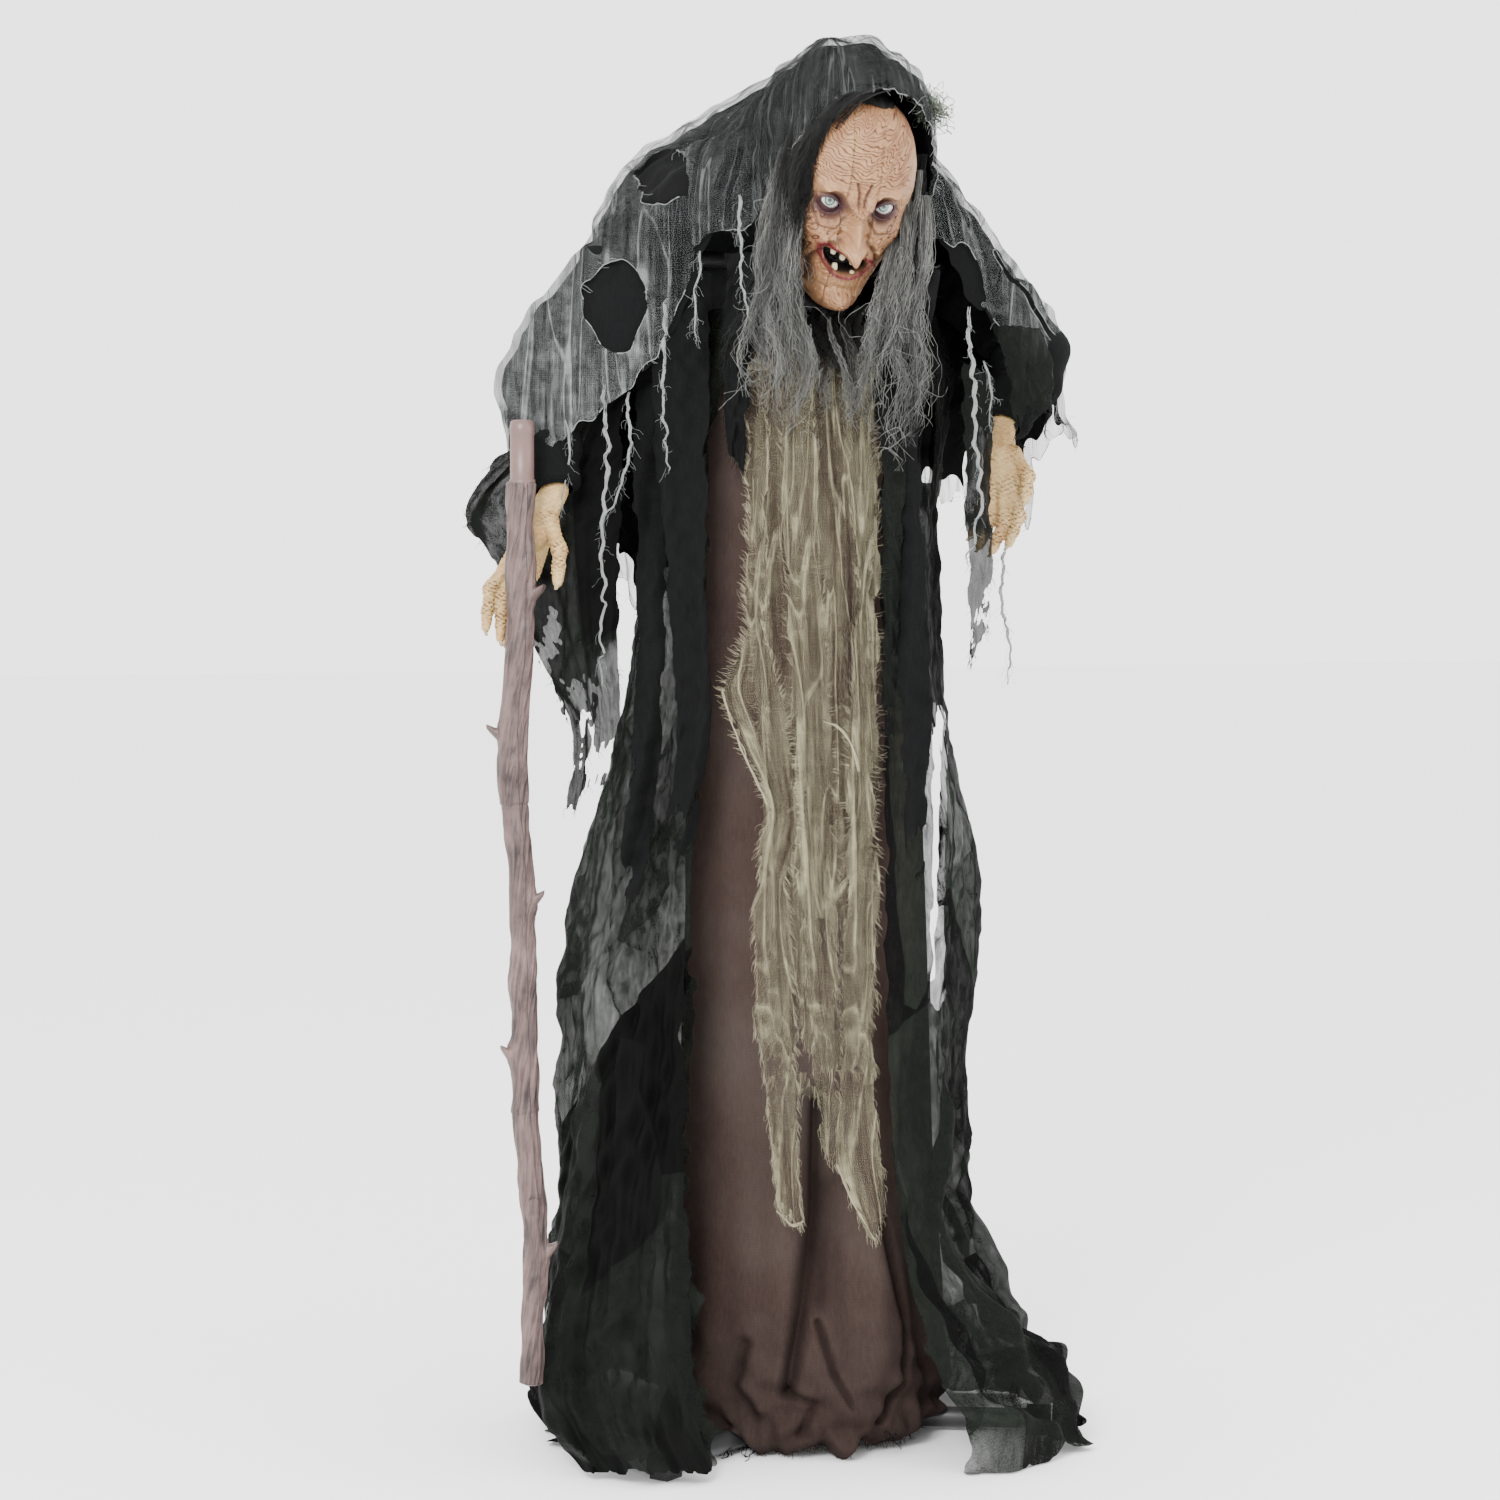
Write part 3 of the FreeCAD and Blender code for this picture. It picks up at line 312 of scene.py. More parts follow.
GREY_GAUZE = gauze("grey_gauze", (0.006, 0.0065, 0.006), (0.225, 0.238, 0.235), 0.0022, 0.34, 0.06, 0.60,
                   14, (0.14, 0.66, 0.20, 1.0))
GREY_THREAD = plain("grey_thread", (0.150, 0.158, 0.155), 0.95, grain=900, spread=0.35)
BEIGE_GAUZE = gauze("beige_gauze", (0.060, 0.053, 0.034), (0.255, 0.232, 0.152), 0.0022, 0.34, -0.12, 0.54,
                    24)
BEIGE_THREAD = plain("beige_thread", (0.26, 0.235, 0.155), 0.95, grain=900, spread=0.3)
SHEER = sheer("sheer_black", 0.63, 0.88, (0.015, 0.019, 0.0145))
DRAPE = sheer("sheer_drape", 0.86, 0.955, (0.0065, 0.0075, 0.0065))
BLACK = woven("black_cloth", (0.0015, 0.0015, 0.0016), (0.0065, 0.0068, 0.007), 0.0022)
BLACK_THREAD = plain("black_thread", (0.003, 0.003, 0.003), 0.95, spread=0.3, Specular_IOR_Level=0.05)
BROWN = woven("brown_cloth", (0.013, 0.0078, 0.0068), (0.052, 0.034, 0.029), 0.0018, 0.0009, dust=0.25)
BROWN_THREAD = plain("brown_thread", (0.03, 0.02, 0.017), 0.95)
FACE_SKIN = skin("face_vinyl", (0.290, 0.162, 0.078), (0.200, 0.088, 0.042), (0.034, 0.010, 0.007))
HAND_SKIN = skin("hand_vinyl", (0.430, 0.310, 0.135), (0.320, 0.180, 0.070), (0.085, 0.034, 0.014))
NAIL = plain("nail_vinyl", (0.27, 0.205, 0.105), 0.4, grain=500, spread=0.3)
TOOTH = plain("tooth_vinyl", (0.40, 0.35, 0.22), 0.35, grain=700, spread=0.35)
EYE = iris_shader()
GREY_HAIR = hair_shader("grey_hair", (0.010, 0.010, 0.0095), (0.215, 0.216, 0.200))
DARK_HAIR = hair_shader("dark_hair", (0.002, 0.002, 0.002), (0.016, 0.0155, 0.0145))
BARK = bark()
PLUG = plain("cane_plug_plastic", (0.105, 0.060, 0.052), 0.42, grain=400, spread=0.3)
FOAM = plain("grey_foam", (0.06, 0.06, 0.063), 0.95, grain=420, spread=0.3, depth=0.001)
TUFT_THREAD = plain("tuft_thread", (0.12, 0.145, 0.105), 0.95, grain=900, spread=0.35)
NODE_FINISH = {
    "black_paint": plain("black_powder_coat", (0.02, 0.02, 0.021), 0.45, grain=1400, depth=0.0001),
    "zinc_steel": plain("zinc_plate", (0.55, 0.55, 0.57), 0.3, metallic=1.0, grain=900),
    "black_plastic": plain("black_moulding", (0.022, 0.022, 0.023), 0.55, grain=1800),
    "white_nylon": plain("white_nylon", (0.80, 0.79, 0.74), 0.5),
    "motor_case": plain("motor_case", (0.10, 0.10, 0.11), 0.35, metallic=0.4),
    "rubber_black": plain("black_rubber", (0.012, 0.012, 0.012), 0.85, grain=500),
    "board_green": plain("green_board", (0.02, 0.16, 0.06), 0.4, grain=300),
    "lens_dark": plain("dark_lens", (0.05, 0.008, 0.012), 0.12),
    "button_red": plain("red_plastic", (0.55, 0.02, 0.02), 0.3),
    "lamp_clear": plain("lamp_clear", (0.85, 0.85, 0.80), 0.1),
    "tooth_vinyl": TOOTH,
}


# ------------------------------------------------------------------ mesh helpers


def new_mesh(name, points, faces, material, uv=None):
    """A smooth-shaded object from points and faces, linked to the scene."""
    mesh = bpy.data.meshes.new(name)
    mesh.from_pydata([tuple(p) for p in points], [], [tuple(f) for f in faces])
    mesh.materials.append(material)
    mesh.polygons.foreach_set("use_smooth", [True] * len(mesh.polygons))
    if uv is not None:
        layer = mesh.uv_layers.new(name="metric")
        corner = np.zeros(len(mesh.loops), int)
        mesh.loops.foreach_get("vertex_index", corner)
        layer.data.foreach_set("uv", np.asarray(uv, float)[corner].ravel())
    mesh.validate()
    made = bpy.data.objects.new(name, mesh)
    bpy.context.scene.collection.objects.link(made)
    return made


def grid_faces(rows, columns, closed=False):
    """Quads of a grid whose points run row by row. A closed grid joins its last row to its first."""
    down = np.arange(rows if closed else rows - 1)
    along = np.arange(columns - 1)
    i, j = np.meshgrid(down, along, indexing="ij")
    after = (i + 1) % rows
    return np.stack([i * columns + j, after * columns + j, after * columns + j + 1, i * columns + j + 1],
                    -1).reshape(-1, 4)


def sheet_mesh(name, points, uv, material, keep=None, closed=False, soften=2):
    """Cloth from a grid of points. Quads where keep is false are torn away, and torn edges are eased."""
    rows, columns = points.shape[:2]
    faces = grid_faces(rows, columns, closed)
    flat_points, flat_uv = points.reshape(-1, 3), uv.reshape(-1, 2)
    if keep is not None:
        kept = keep.reshape(-1)
        faces = faces[kept[faces].all(axis=1)]
    used = np.unique(faces)
    renumber = np.zeros(len(flat_points), int)
    renumber[used] = np.arange(len(used))
    faces = renumber[faces]
    flat_points, flat_uv = flat_points[used], flat_uv[used]
    edges = np.sort(faces[:, [0, 1, 1, 2, 2, 3, 3, 0]].reshape(-1, 2), axis=1)
    pairs, counts = np.unique(edges, axis=0, return_counts=True)
    rim = pairs[counts == 1]
    for _ in range(soften):
        total, number = np.zeros_like(flat_points), np.zeros(len(flat_points))
        for a, b in ((0, 1), (1, 0)):
            np.add.at(total, rim[:, a], flat_points[rim[:, b]])
            np.add.at(number, rim[:, a], 1)
        on = number > 0
        flat_points = flat_points.copy()
        flat_points[on] = 0.5 * flat_points[on] + 0.5 * total[on] / number[on][:, None]
    made = new_mesh(name, flat_points, faces, material, flat_uv)
    return made, flat_points, rim, used


def tubes(name, lines, radii, material, sides=3):
    """Many thin tubes in one mesh, each along its own line of points, tapering by its own radii."""
    points, faces, base = [], [], 0
    angles = np.arange(sides) * 2 * math.pi / sides
    for line, radius in zip(lines, radii):
        line = np.asarray(line, float)
        way = np.gradient(line, axis=0)
        way /= np.linalg.norm(way, axis=1)[:, None] + 1e-12
        helper = np.where(np.abs(way[:, 2:3]) > 0.8, np.array([[1.0, 0, 0]]), np.array([[0, 0, 1.0]]))
        first = np.cross(way, helper)
        first /= np.linalg.norm(first, axis=1)[:, None] + 1e-12
        second = np.cross(way, first)
        size = np.broadcast_to(np.asarray(radius, float), (len(line),))
        ring = (line[:, None, :] + size[:, None, None] * (
            np.cos(angles)[None, :, None] * first[:, None, :] + np.sin(angles)[None, :, None]
                                                          * second[:, None, :]))
        points.append(ring.reshape(-1, 3))
        n = len(line)
        i, j = np.meshgrid(np.arange(n - 1), np.arange(sides), indexing="ij")
        k = (j + 1) % sides
        faces.append(np.stack([i * sides + j, i * sides + k, (i + 1) * sides + k, (i + 1) * sides + j],
                              -1).reshape(-1, 4) + base)
        base += n * sides
    return new_mesh(name, np.concatenate(points), np.concatenate(faces), material)


def mesh_points(made):
    """A mesh's points as an array."""
    flat = np.empty(len(made.data.vertices) * 3)
    made.data.vertices.foreach_get("co", flat)
    return flat.reshape(-1, 3)


def push_out(made, amount):
    """Moves a mesh's points along its normals."""
    flat = np.empty(len(made.data.vertices) * 3)
    made.data.vertices.foreach_get("normal", flat)
    points = mesh_points(made) + flat.reshape(-1, 3) * amount[:, None]
    made.data.vertices.foreach_set("co", points.ravel())
    made.data.update()


def paint(made, name, values):
    """Stores a value at each point, for a material to read."""
    layer = made.data.attributes.new(name, "FLOAT", "POINT")
    layer.data.foreach_set("value", np.asarray(values, np.float32).ravel())


def ripple(points, wavelength, seed, count=9):
    """Smooth wandering values, about -1 to 1, from crossed waves."""
    rng = np.random.default_rng(seed)
    points = np.asarray(points, float)
    total = np.zeros(points.shape[:-1])
    for _ in range(count):
        way = rng.normal(size=points.shape[-1])
        way *= 2 * math.pi / (np.linalg.norm(way) * wavelength * rng.uniform(0.6, 1.6))
        total += np.sin(points @ way + rng.uniform(0, 2 * math.pi))
    return total / math.sqrt(count / 2) * 0.7


def stacked(*parts):
    """Points from their coordinates, each a number or an array that fits the others."""
    return np.stack(np.broadcast_arrays(*parts), -1)


def on_drum(turns, radius, rise):
    """Places on a drum, so that waves over them join up all the way round."""
    return stacked(np.cos(turns) * radius, np.sin(turns) * radius, rise)


def unit(vector):
    """A vector of length one the same way."""
    return vector / (np.linalg.norm(vector) + 1e-12)


def smooth(value, low, high):
    """0 below low, 1 above high, and an S between them."""
    t = np.clip((np.asarray(value, float) - low) / (high - low), 0, 1)
    return t * t * (3 - 2 * t)


def bell(value, centre, width):
    """A bump of height 1 at centre that fades over width."""
    return np.exp(-((np.asarray(value, float) - centre) / width) ** 2)


def fold_wave(turns):
    """A zigzag from -1 to 1, once a turn, for cloth pressed into flat facets."""
    return 4 * np.abs(turns - np.floor(turns) - 0.5) - 1


def strand(start, end, sag, seed, count=14, wave=0.004, length=0.06):
    """A loose line from start to end that bows by sag and wanders a little."""
    t = np.linspace(0, 1, count)[:, None]
    start, end = np.asarray(start, float), np.asarray(end, float)
    line = start + (end - start) * t + np.asarray(sag, float) * (4 * t * (1 - t))
    reach = np.linalg.norm(end - start)
    along = np.concatenate([t * reach, np.full_like(t, seed * 1.7)], axis=1)
    wander = np.stack([ripple(along, length, seed * 3 + k, 5) for k in range(3)], -1)
    return line + wander * wave * smooth(t, 0, 0.15)


# ------------------------------------------------------------------ what the cloth lies on

ARM_LINE = {"right": ((-0.225, 0.010, 1.462), (-0.345, 0.010, 1.290), (-0.352, -0.040, 1.175),
                      (-0.382, -0.045, 1.120)),
            "left": ((0.225, 0.010, 1.462), (0.290, -0.050, 1.360), (0.228, -0.095, 1.262),
                     (0.217, -0.108, 1.225))}
SIDE = {"right": -1, "left": 1}


def top_of_ellipsoid(x, y, centre, radii, lean=0.0):
    """Height of an ellipsoid's upper surface over plan points. Very low where it isn't under them."""
    c, s = math.cos(lean), math.sin(lean)
    dx, dy = (x - centre[0]) / radii[0], y - centre[1]
    # a point at height h above the centre has local y = c*dy + s*h and local z = -s*dy + c*h
    a = (s / radii[1]) ** 2 + (c / radii[2]) ** 2
    b = 2 * dy * c * s * (1 / radii[1] ** 2 - 1 / radii[2] ** 2)
    k = dx ** 2 + (c * dy / radii[1]) ** 2 + (s * dy / radii[2]) ** 2 - 1
    root = b * b - 4 * a * k
    height = centre[2] + (-b + np.sqrt(np.maximum(root, 0))) / (2 * a)
    return np.where(root >= 0, height, -1.0)


def top_of_limb(x, y, start, end, wide, thin):
    """Height of the top of a tapered round limb over plan points."""
    best = np.full(np.shape(x), -1.0)
    for t in np.linspace(0, 1, 24):
        centre = np.asarray(start) + (np.asarray(end) - np.asarray(start)) * t
        radius = wide + (thin - wide) * t
        room = radius ** 2 - (x - centre[0]) ** 2 - (y - centre[1]) ** 2
        best = np.maximum(best, np.where(room > 0, centre[2] + np.sqrt(np.maximum(room, 0)), -1.0))
    return best


def body_top(x, y):
    """Height of whatever holds the shawl up over plan points: head, hump, shoulders and arms."""
    tops = [top_of_ellipsoid(x, y, head_point([0, 0.030, 0.050]), (0.112, 0.126, 0.131), LEAN),
            top_of_ellipsoid(x, y, (-0.030, 0.090, 1.470), (0.215, 0.170, 0.185)),
            top_of_ellipsoid(x, y, (0, -0.005, 1.425), (0.290, 0.095, 0.085))]
    for name, (shoulder, elbow, wrist, _) in ARM_LINE.items():
        at_elbow = 0.064 if name == "right" else 0.055
        tops.append(top_of_limb(x, y, shoulder, elbow, 0.064, at_elbow))
        tops.append(top_of_limb(x, y, elbow, wrist, at_elbow, 0.048))
    return np.maximum.reduce(tops)


def draped_line(turn, apex, length, count):
    """Where cloth lies that is pinned at an apex and laid outwards over the body in one direction."""
    out = np.arange(0, 0.52, 0.004)
    x, y = apex[0] + out * math.cos(turn), apex[1] + out * math.sin(turn)
    height = body_top(x, y)
    height[0] = apex[2]
    hull = []
    for point in zip(out[height > 0], height[height > 0]):
        while len(hull) > 1:
            (r0, z0), (r1, z1) = hull[-2], hull[-1]
            if (r1 - r0) * (point[1] - z0) - (z1 - z0) * (point[0] - r0) < 0:
                break
            hull.pop()
        hull.append(point)
    hull = np.array(hull)
    steep = np.diff(hull[:, 1]) / np.diff(hull[:, 0]) < -4.5
    if steep.any():
        hull = hull[:np.argmax(steep) + 1]
    hull = np.vstack([hull, [hull[-1, 0] + 0.004, 0.2]])
    run = np.concatenate([[0], np.cumsum(np.hypot(*np.diff(hull, axis=0).T))])
    at = np.linspace(0, length, count)
    r, z = np.interp(at, run, hull[:, 0]), np.interp(at, run, hull[:, 1])
    return np.stack([apex[0] + r * math.cos(turn), apex[1] + r * math.sin(turn), z], -1)


def around(values, spread):
    """Evens a closed row of values out over a number of columns each way."""
    reach = int(3 * spread)
    weights = np.exp(-0.5 * (np.arange(-reach, reach + 1) / spread) ** 2)
    weights /= weights.sum()
    return sum(w * np.roll(values, k - reach, axis=0) for k, w in enumerate(weights))


# ------------------------------------------------------------------ hood and shawl

APEX = np.array([-0.015, -0.100, 1.722])
COLUMNS, ROWS, REACH = 520, 160, 1.02
SIDEWAYS = np.array([math.cos(math.radians(25)), -math.sin(math.radians(25)), 0.0])
FORWARD = np.array([-math.sin(math.radians(25)), -math.cos(math.radians(25)), 0.0])
UP = np.array([0.0, 0.0, 1.0])


def shawl_surface():
    """Cloth over head, hump and shoulders, as columns of points running outwards from the apex."""
    turns = (np.arange(COLUMNS) / COLUMNS - 0.25) * 2 * math.pi
    lines = np.array([draped_line(turn, APEX, REACH, ROWS) for turn in turns])
    lines = around(lines, 7.0)
    lines[..., 0] = np.where(lines[..., 0] > 0.320, 0.320 + (lines[..., 0] - 0.320) * 0.35, lines[..., 0])
    along = np.linspace(0, REACH, ROWS)
    ring = np.stack([np.cos(turns), np.sin(turns)], -1)
    where = on_drum(turns[:, None], 0.22, along[None] * 0.30)
    outward = np.concatenate([ring, np.zeros((COLUMNS, 1))], 1)[:, None, :]
    folds = ripple(where, 0.075, 11, 12)
    creases = ripple(where * [1, 1, 2.2], 0.030, 12, 12)
    depth = 0.003 + 0.013 * smooth(along, 0.30, 0.62)
    slump = ripple(lines, 0.06, 13, 10)
    return (lines + outward * (folds * depth + creases * 0.0028)[..., None]
            + np.array([0, 0, 1.0]) * (slump * 0.0045)[..., None]), turns, along


def rim_length(turns, lines, along):
    """How far the cloth runs out from the apex before its edge, in each direction."""
    degrees = np.degrees(turns) % 360
    # the hood's rim, by direction: its height above the floor
    rim_turn = [172, 184, 201, 214, 228, 248, 270, 292, 312, 328, 342, 358]
    rim_height = [1.475, 1.487, 1.523, 1.553, 1.583, 1.626, 1.642, 1.622, 1.570, 1.530, 1.495, 1.470]
    wanted = np.interp(degrees, rim_turn, rim_height)
    short = np.array([along[np.argmax(line[:, 2] < height)] for line, height in zip(lines, wanted)])
    # the hem, by direction: its height above the floor
    hem_turn = [0, 6, 12, 25, 45, 90, 130, 150, 158, 165, 170, 174, 178, 184, 350, 354, 360]
    hem_height = [1.27, 1.25, 1.24, 1.21, 1.14, 1.05, 1.10, 1.15, 1.19, 1.185, 1.20, 1.23, 1.40, 1.46, 1.40,
                  1.31, 1.27]
    hem = np.interp(degrees, hem_turn, hem_height)
    long = np.array([along[np.argmax(line[:, 2] < height)] for line, height in zip(lines, hem)])
    ring = np.stack([np.cos(turns), np.sin(turns)], -1)
    ragged = ripple(ring, 0.16, 21, 10) * 0.022 + ripple(ring, 0.035, 22, 10) * 0.012
    tips = np.maximum(0, ripple(ring, 0.09, 23, 8)) * 0.050
    back = np.where((degrees > 0) & (degrees < 177), 1.0, 0.0)
    full = np.where(degrees > 348, smooth(degrees, 350, 355), back)
    return np.where(full > 0, short + (long + ragged + tips - short) * full, short)


shawl, TURNS, ALONG = shawl_surface()
LENGTHS = rim_length(TURNS, shawl, ALONG)
# torn holes: place across the view, height, half width, half height
HOLES = ((-0.176, 1.560, 0.030, 0.040, 20), (-0.232, 1.398, 0.034, 0.052, 31),
         (0.192, 1.440, 0.024, 0.040, 47))


def torn_away(points):
    """True where the front layer of the shawl has a torn hole."""
    across, near = points @ SIDEWAYS, points @ FORWARD
    gone = np.zeros(across.shape, bool)
    for place, height, wide, high, seed in HOLES:
        edge = 1 + 0.13 * ripple(points, 0.04, seed, 7)
        gone |= (((across - place) / wide) ** 2
                 + ((points[..., 2] - height) / high) ** 2 < edge ** 2) & (near > -0.02)
    return gone


def cloth_over(name, offset, shorter, material, with_holes):
    """The shawl or its lining, in three pieces: over the head and back, and over each arm."""
    centre = np.array([0, -0.02, 1.35])
    inward = shawl - centre
    inward /= np.linalg.norm(inward, axis=-1, keepdims=True)
    points = shawl - inward * offset
    fan = stacked((TURNS * 0.30)[:, None], ALONG[None, :])
    across = shawl @ SIDEWAYS
    straight = np.stack([np.where(shawl[..., 0] < 0, across + 0.955, 0.27 - across),
                         APEX[2] - shawl[..., 2] + 0.08], -1)
    on_arm = smooth(np.abs(shawl[..., 0]), 0.13, 0.23)[..., None]
    uv = fan * (1 - on_arm) + straight * on_arm
    keep = ALONG[None, :] < (LENGTHS - shorter)[:, None]
    if with_holes:
        keep &= ~torn_away(points)
    made = {}
    x = points[..., 0]
    for part, inside in (("back", (x > -SHOULDER_X) & (x < SHOULDER_X)), ("right", x <= -SHOULDER_X),
                         ("left", x >= SHOULDER_X)):
        # one more row of points each way, so that the pieces meet
        wide = inside | np.roll(inside, 1, 0) | np.roll(inside, -1, 0)
        wide = wide | np.roll(inside, 1, 1) | np.roll(inside, -1, 1)
        made[part] = sheet_mesh(f"{name}_{part}", points, uv, material, keep & wide, closed=True)
    return made


def rolled_rim(name, made, material, radius, seed):
    """A thin roll of threads along a sheet's torn edge, but not where it meets the next piece."""
    _, points, rim, _ = made
    ends = points[rim]
    ends = ends[(np.abs(np.abs(ends[..., 0]) - SHOULDER_X) > 0.009).all(axis=1)]
    ends = ends[ripple(ends[:, 0], 0.05, seed, 6) > -0.35]
    rng = np.random.default_rng(seed)
    lines = list(ends)
    sizes = list(radius * rng.uniform(0.4, 1.3, len(ends)))
    for start in ends[rng.integers(0, len(ends), len(ends) // 3), 0]:
        reach = 0.016 * rng.uniform(0.2, 1.0) ** 2 + 0.002
        end = start + unit(rng.normal(0, 1, 3) * [1, 1, 0.7] - UP * 0.5) * reach
        lines.append(strand(start, end, rng.normal(0, 0.15, 3) * reach, int(rng.integers(1e6)), 5,
                            reach * 0.1, 0.02))
        sizes.append(0.00022)
    return tubes(name, lines, sizes, material, 4)


def blend_cloth(pieces):
    """Bakes the placing of the three pieces of a shawl layer into their meshes."""
    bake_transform(pieces["back"])
    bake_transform(pieces["right"])
    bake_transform(pieces["left"])


gauze_sheets = cloth_over("shawl", 0.0, 0.0, GREY_GAUZE, True)
gauze_rims = {part: rolled_rim(f"shawl_rim_{part}", made, GREY_THREAD, 0.0006, 15) for part,
              made in gauze_sheets.items()}
gauze_pieces = {part: made[0] for part, made in gauze_sheets.items()}
lining_pieces = {part: made[0]
                 for part, made in cloth_over("shawl_lining", 0.010, 0.022, BLACK, False).items()}
blend_cloth(gauze_pieces)
blend_cloth(gauze_rims)
blend_cloth(lining_pieces)
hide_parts("shawl", "hood")

# ------------------------------------------------------------------ placing things across the front


def seen(u, d, z):
    """A point given as across to the viewer's right, out towards the viewer, and up."""
    return np.asarray(u)[..., None] * SIDEWAYS + np.asarray(d)[..., None] * FORWARD + np.asarray(z)[...,
        None] * UP


def flow(corners, count):
    """Evenly spaced points on a smooth line through a few corners, each (across, out, up)."""
    corners = np.asarray(corners, float)
    ends = np.vstack([2 * corners[0] - corners[1], corners, 2 * corners[-1] - corners[-2]])
    spans = []
    for k in range(1, len(ends) - 2):
        t = np.linspace(0, 1, 24, endpoint=False)[:, None]
        p0, p1, p2, p3 = ends[k - 1:k + 3]
        spans.append(0.5 * (2 * p1 + (p2 - p0) * t + (2 * p0 - 5 * p1 + 4 * p2 - p3) * t ** 2
                            + (3 * p1 - p0 - 3 * p2 + p3) * t ** 3))
    line = np.vstack([*spans, corners[-1:]])
    line = seen(line[:, 0], line[:, 1], line[:, 2])
    run = np.concatenate([[0], np.cumsum(np.linalg.norm(np.diff(line, axis=0), axis=1))])
    at = np.linspace(0, run[-1], count)
    return np.stack([np.interp(at, run, line[:, k]) for k in range(3)], -1)


def near_line(across, height, line):
    """Distance of points from a line of (across, up) corners."""
    best = np.full(np.shape(across), 9.0)
    for (u0, z0), (u1, z1) in zip(line, line[1:]):
        t = ((across - u0) * (u1 - u0) + (height - z0) * (z1 - z0)) / ((u1 - u0) ** 2 + (z1 - z0) ** 2)
        t = np.clip(t, 0, 1)
        best = np.minimum(best, np.hypot(across - u0 - t * (u1 - u0), height - z0 - t * (z1 - z0)))
    return best


def metric_uv(points):
    """Lengths along both ways of a grid, averaged, so that a weave keeps its scale."""
    wide = np.linalg.norm(np.diff(points, axis=0), axis=-1).mean(axis=1)
    long = np.linalg.norm(np.diff(points, axis=1), axis=-1).mean(axis=0)
    u, v = np.concatenate([[0], np.cumsum(wide)]), np.concatenate([[0], np.cumsum(long)])
    return stacked(u[:, None], v[None, :])


def curtain(name, left, right, material, seed, size=(40, 110), fold=0.045, depth=0.012, bow=0.0,
            ragged=0.02, side=0.006, holes=()):
    """A hanging length of cloth between two smooth lines, folded along its length, with torn edges."""
    rows, columns = size
    a, b = flow(left, columns), flow(right, columns)
    s = np.linspace(0, 1, rows)[:, None, None]
    points = a[None] * (1 - s) + b[None] * s
    across = b - a
    width = np.linalg.norm(across, axis=1)
    down = np.gradient((a + b) / 2, axis=0)
    out = np.cross(across, down)
    out /= np.linalg.norm(out, axis=1)[:, None] + 1e-9
    out *= np.sign((out @ FORWARD).mean() + 1e-6)
    run = metric_uv(points)
    grown = smooth(np.linspace(0, 1, columns), 0.0, 0.35)
    where = np.stack([np.broadcast_to(s[..., 0] * width.mean(), run.shape[:2]) + run[..., 1] * 0.05,
                      run[..., 1] * 0.16, np.full(run.shape[:2], seed * 0.37)], -1)
    lift = ripple(where, fold, seed, 8) * depth * (0.35 + 0.65 * grown)
    fine = ripple(where * [1, 3, 1], fold * 0.32, seed + 50, 8) * depth * 0.22
    points = points + out[None] * (lift + fine + bow * 4 * s[..., 0] * (1 - s[..., 0]))[..., None]
    points[..., 2] = np.maximum(points[..., 2], 0.002)
    inside = np.minimum(s[..., 0], 1 - s[..., 0]) * width
    hem = run[..., 1].max() - run[..., 1]
    torn = ripple(run, 0.070, seed + 9, 8) + 0.5 * ripple(run, 0.022, seed + 10, 8)
    frayed = ragged * (0.9 + torn + 0.3 * ripple(run, 0.008, seed + 8, 6))
    keep = (hem > frayed) & (inside >= side * (0.4 + torn))
    for u, z, wide, high in holes:
        edge = 1 + 0.35 * ripple(run, 0.02, seed + 7, 6)
        spot = ((points @ SIDEWAYS - u) / wide) ** 2 + ((points[..., 2] - z) / high) ** 2
        keep &= spot > edge ** 2
    return sheet_mesh(name, points, run * [1.1, 1], material, keep)


def fringe(name, made, material, seed, number, length, spread=0.5, radius=0.00035, low=-9.0, high=9.0,
           sideways=0.4):
    """Loose threads at the torn edges of a sheet."""
    rng = np.random.default_rng(seed)
    _, points, rim, _ = made
    ends = points[rim]
    ends = ends[(ends[:, 0, 2] > low) & (ends[:, 0, 2] < high)]
    picked = ends[rng.integers(0, len(ends), number)]
    middle = points.mean(axis=0)
    lines, radii = [], []
    for pair in picked:
        start = pair[0] + (pair[1] - pair[0]) * rng.random()
        away = start - middle
        away[2] *= 0.2
        away /= np.linalg.norm(away) + 1e-9
        reach = length * rng.uniform(0.25, 1.0)
        way = away * sideways + np.array([0, 0, -1.0]) * rng.uniform(0.1, 1.0)
        way = way + rng.normal(0, spread, 3) * 0.5
        end = start + way / np.linalg.norm(way) * reach
        line = strand(start, end, rng.normal(0, 0.12, 3) * reach, int(rng.integers(1e6)), 6, reach * 0.10,
                      0.02)
        line[:, 2] = np.maximum(line[:, 2], 0.001)
        lines.append(line)
        radii.append(np.linspace(radius, radius * 0.4, 6))
    return tubes(name, lines, radii, material)


# ------------------------------------------------------------------ dress


def by_height(z, table):
    """Values of a table of rows (height, value, value...) at heights z."""
    table = np.asarray(table, float)
    return [np.interp(z, table[:, 0], table[:, k]) for k in range(1, table.shape[1])]


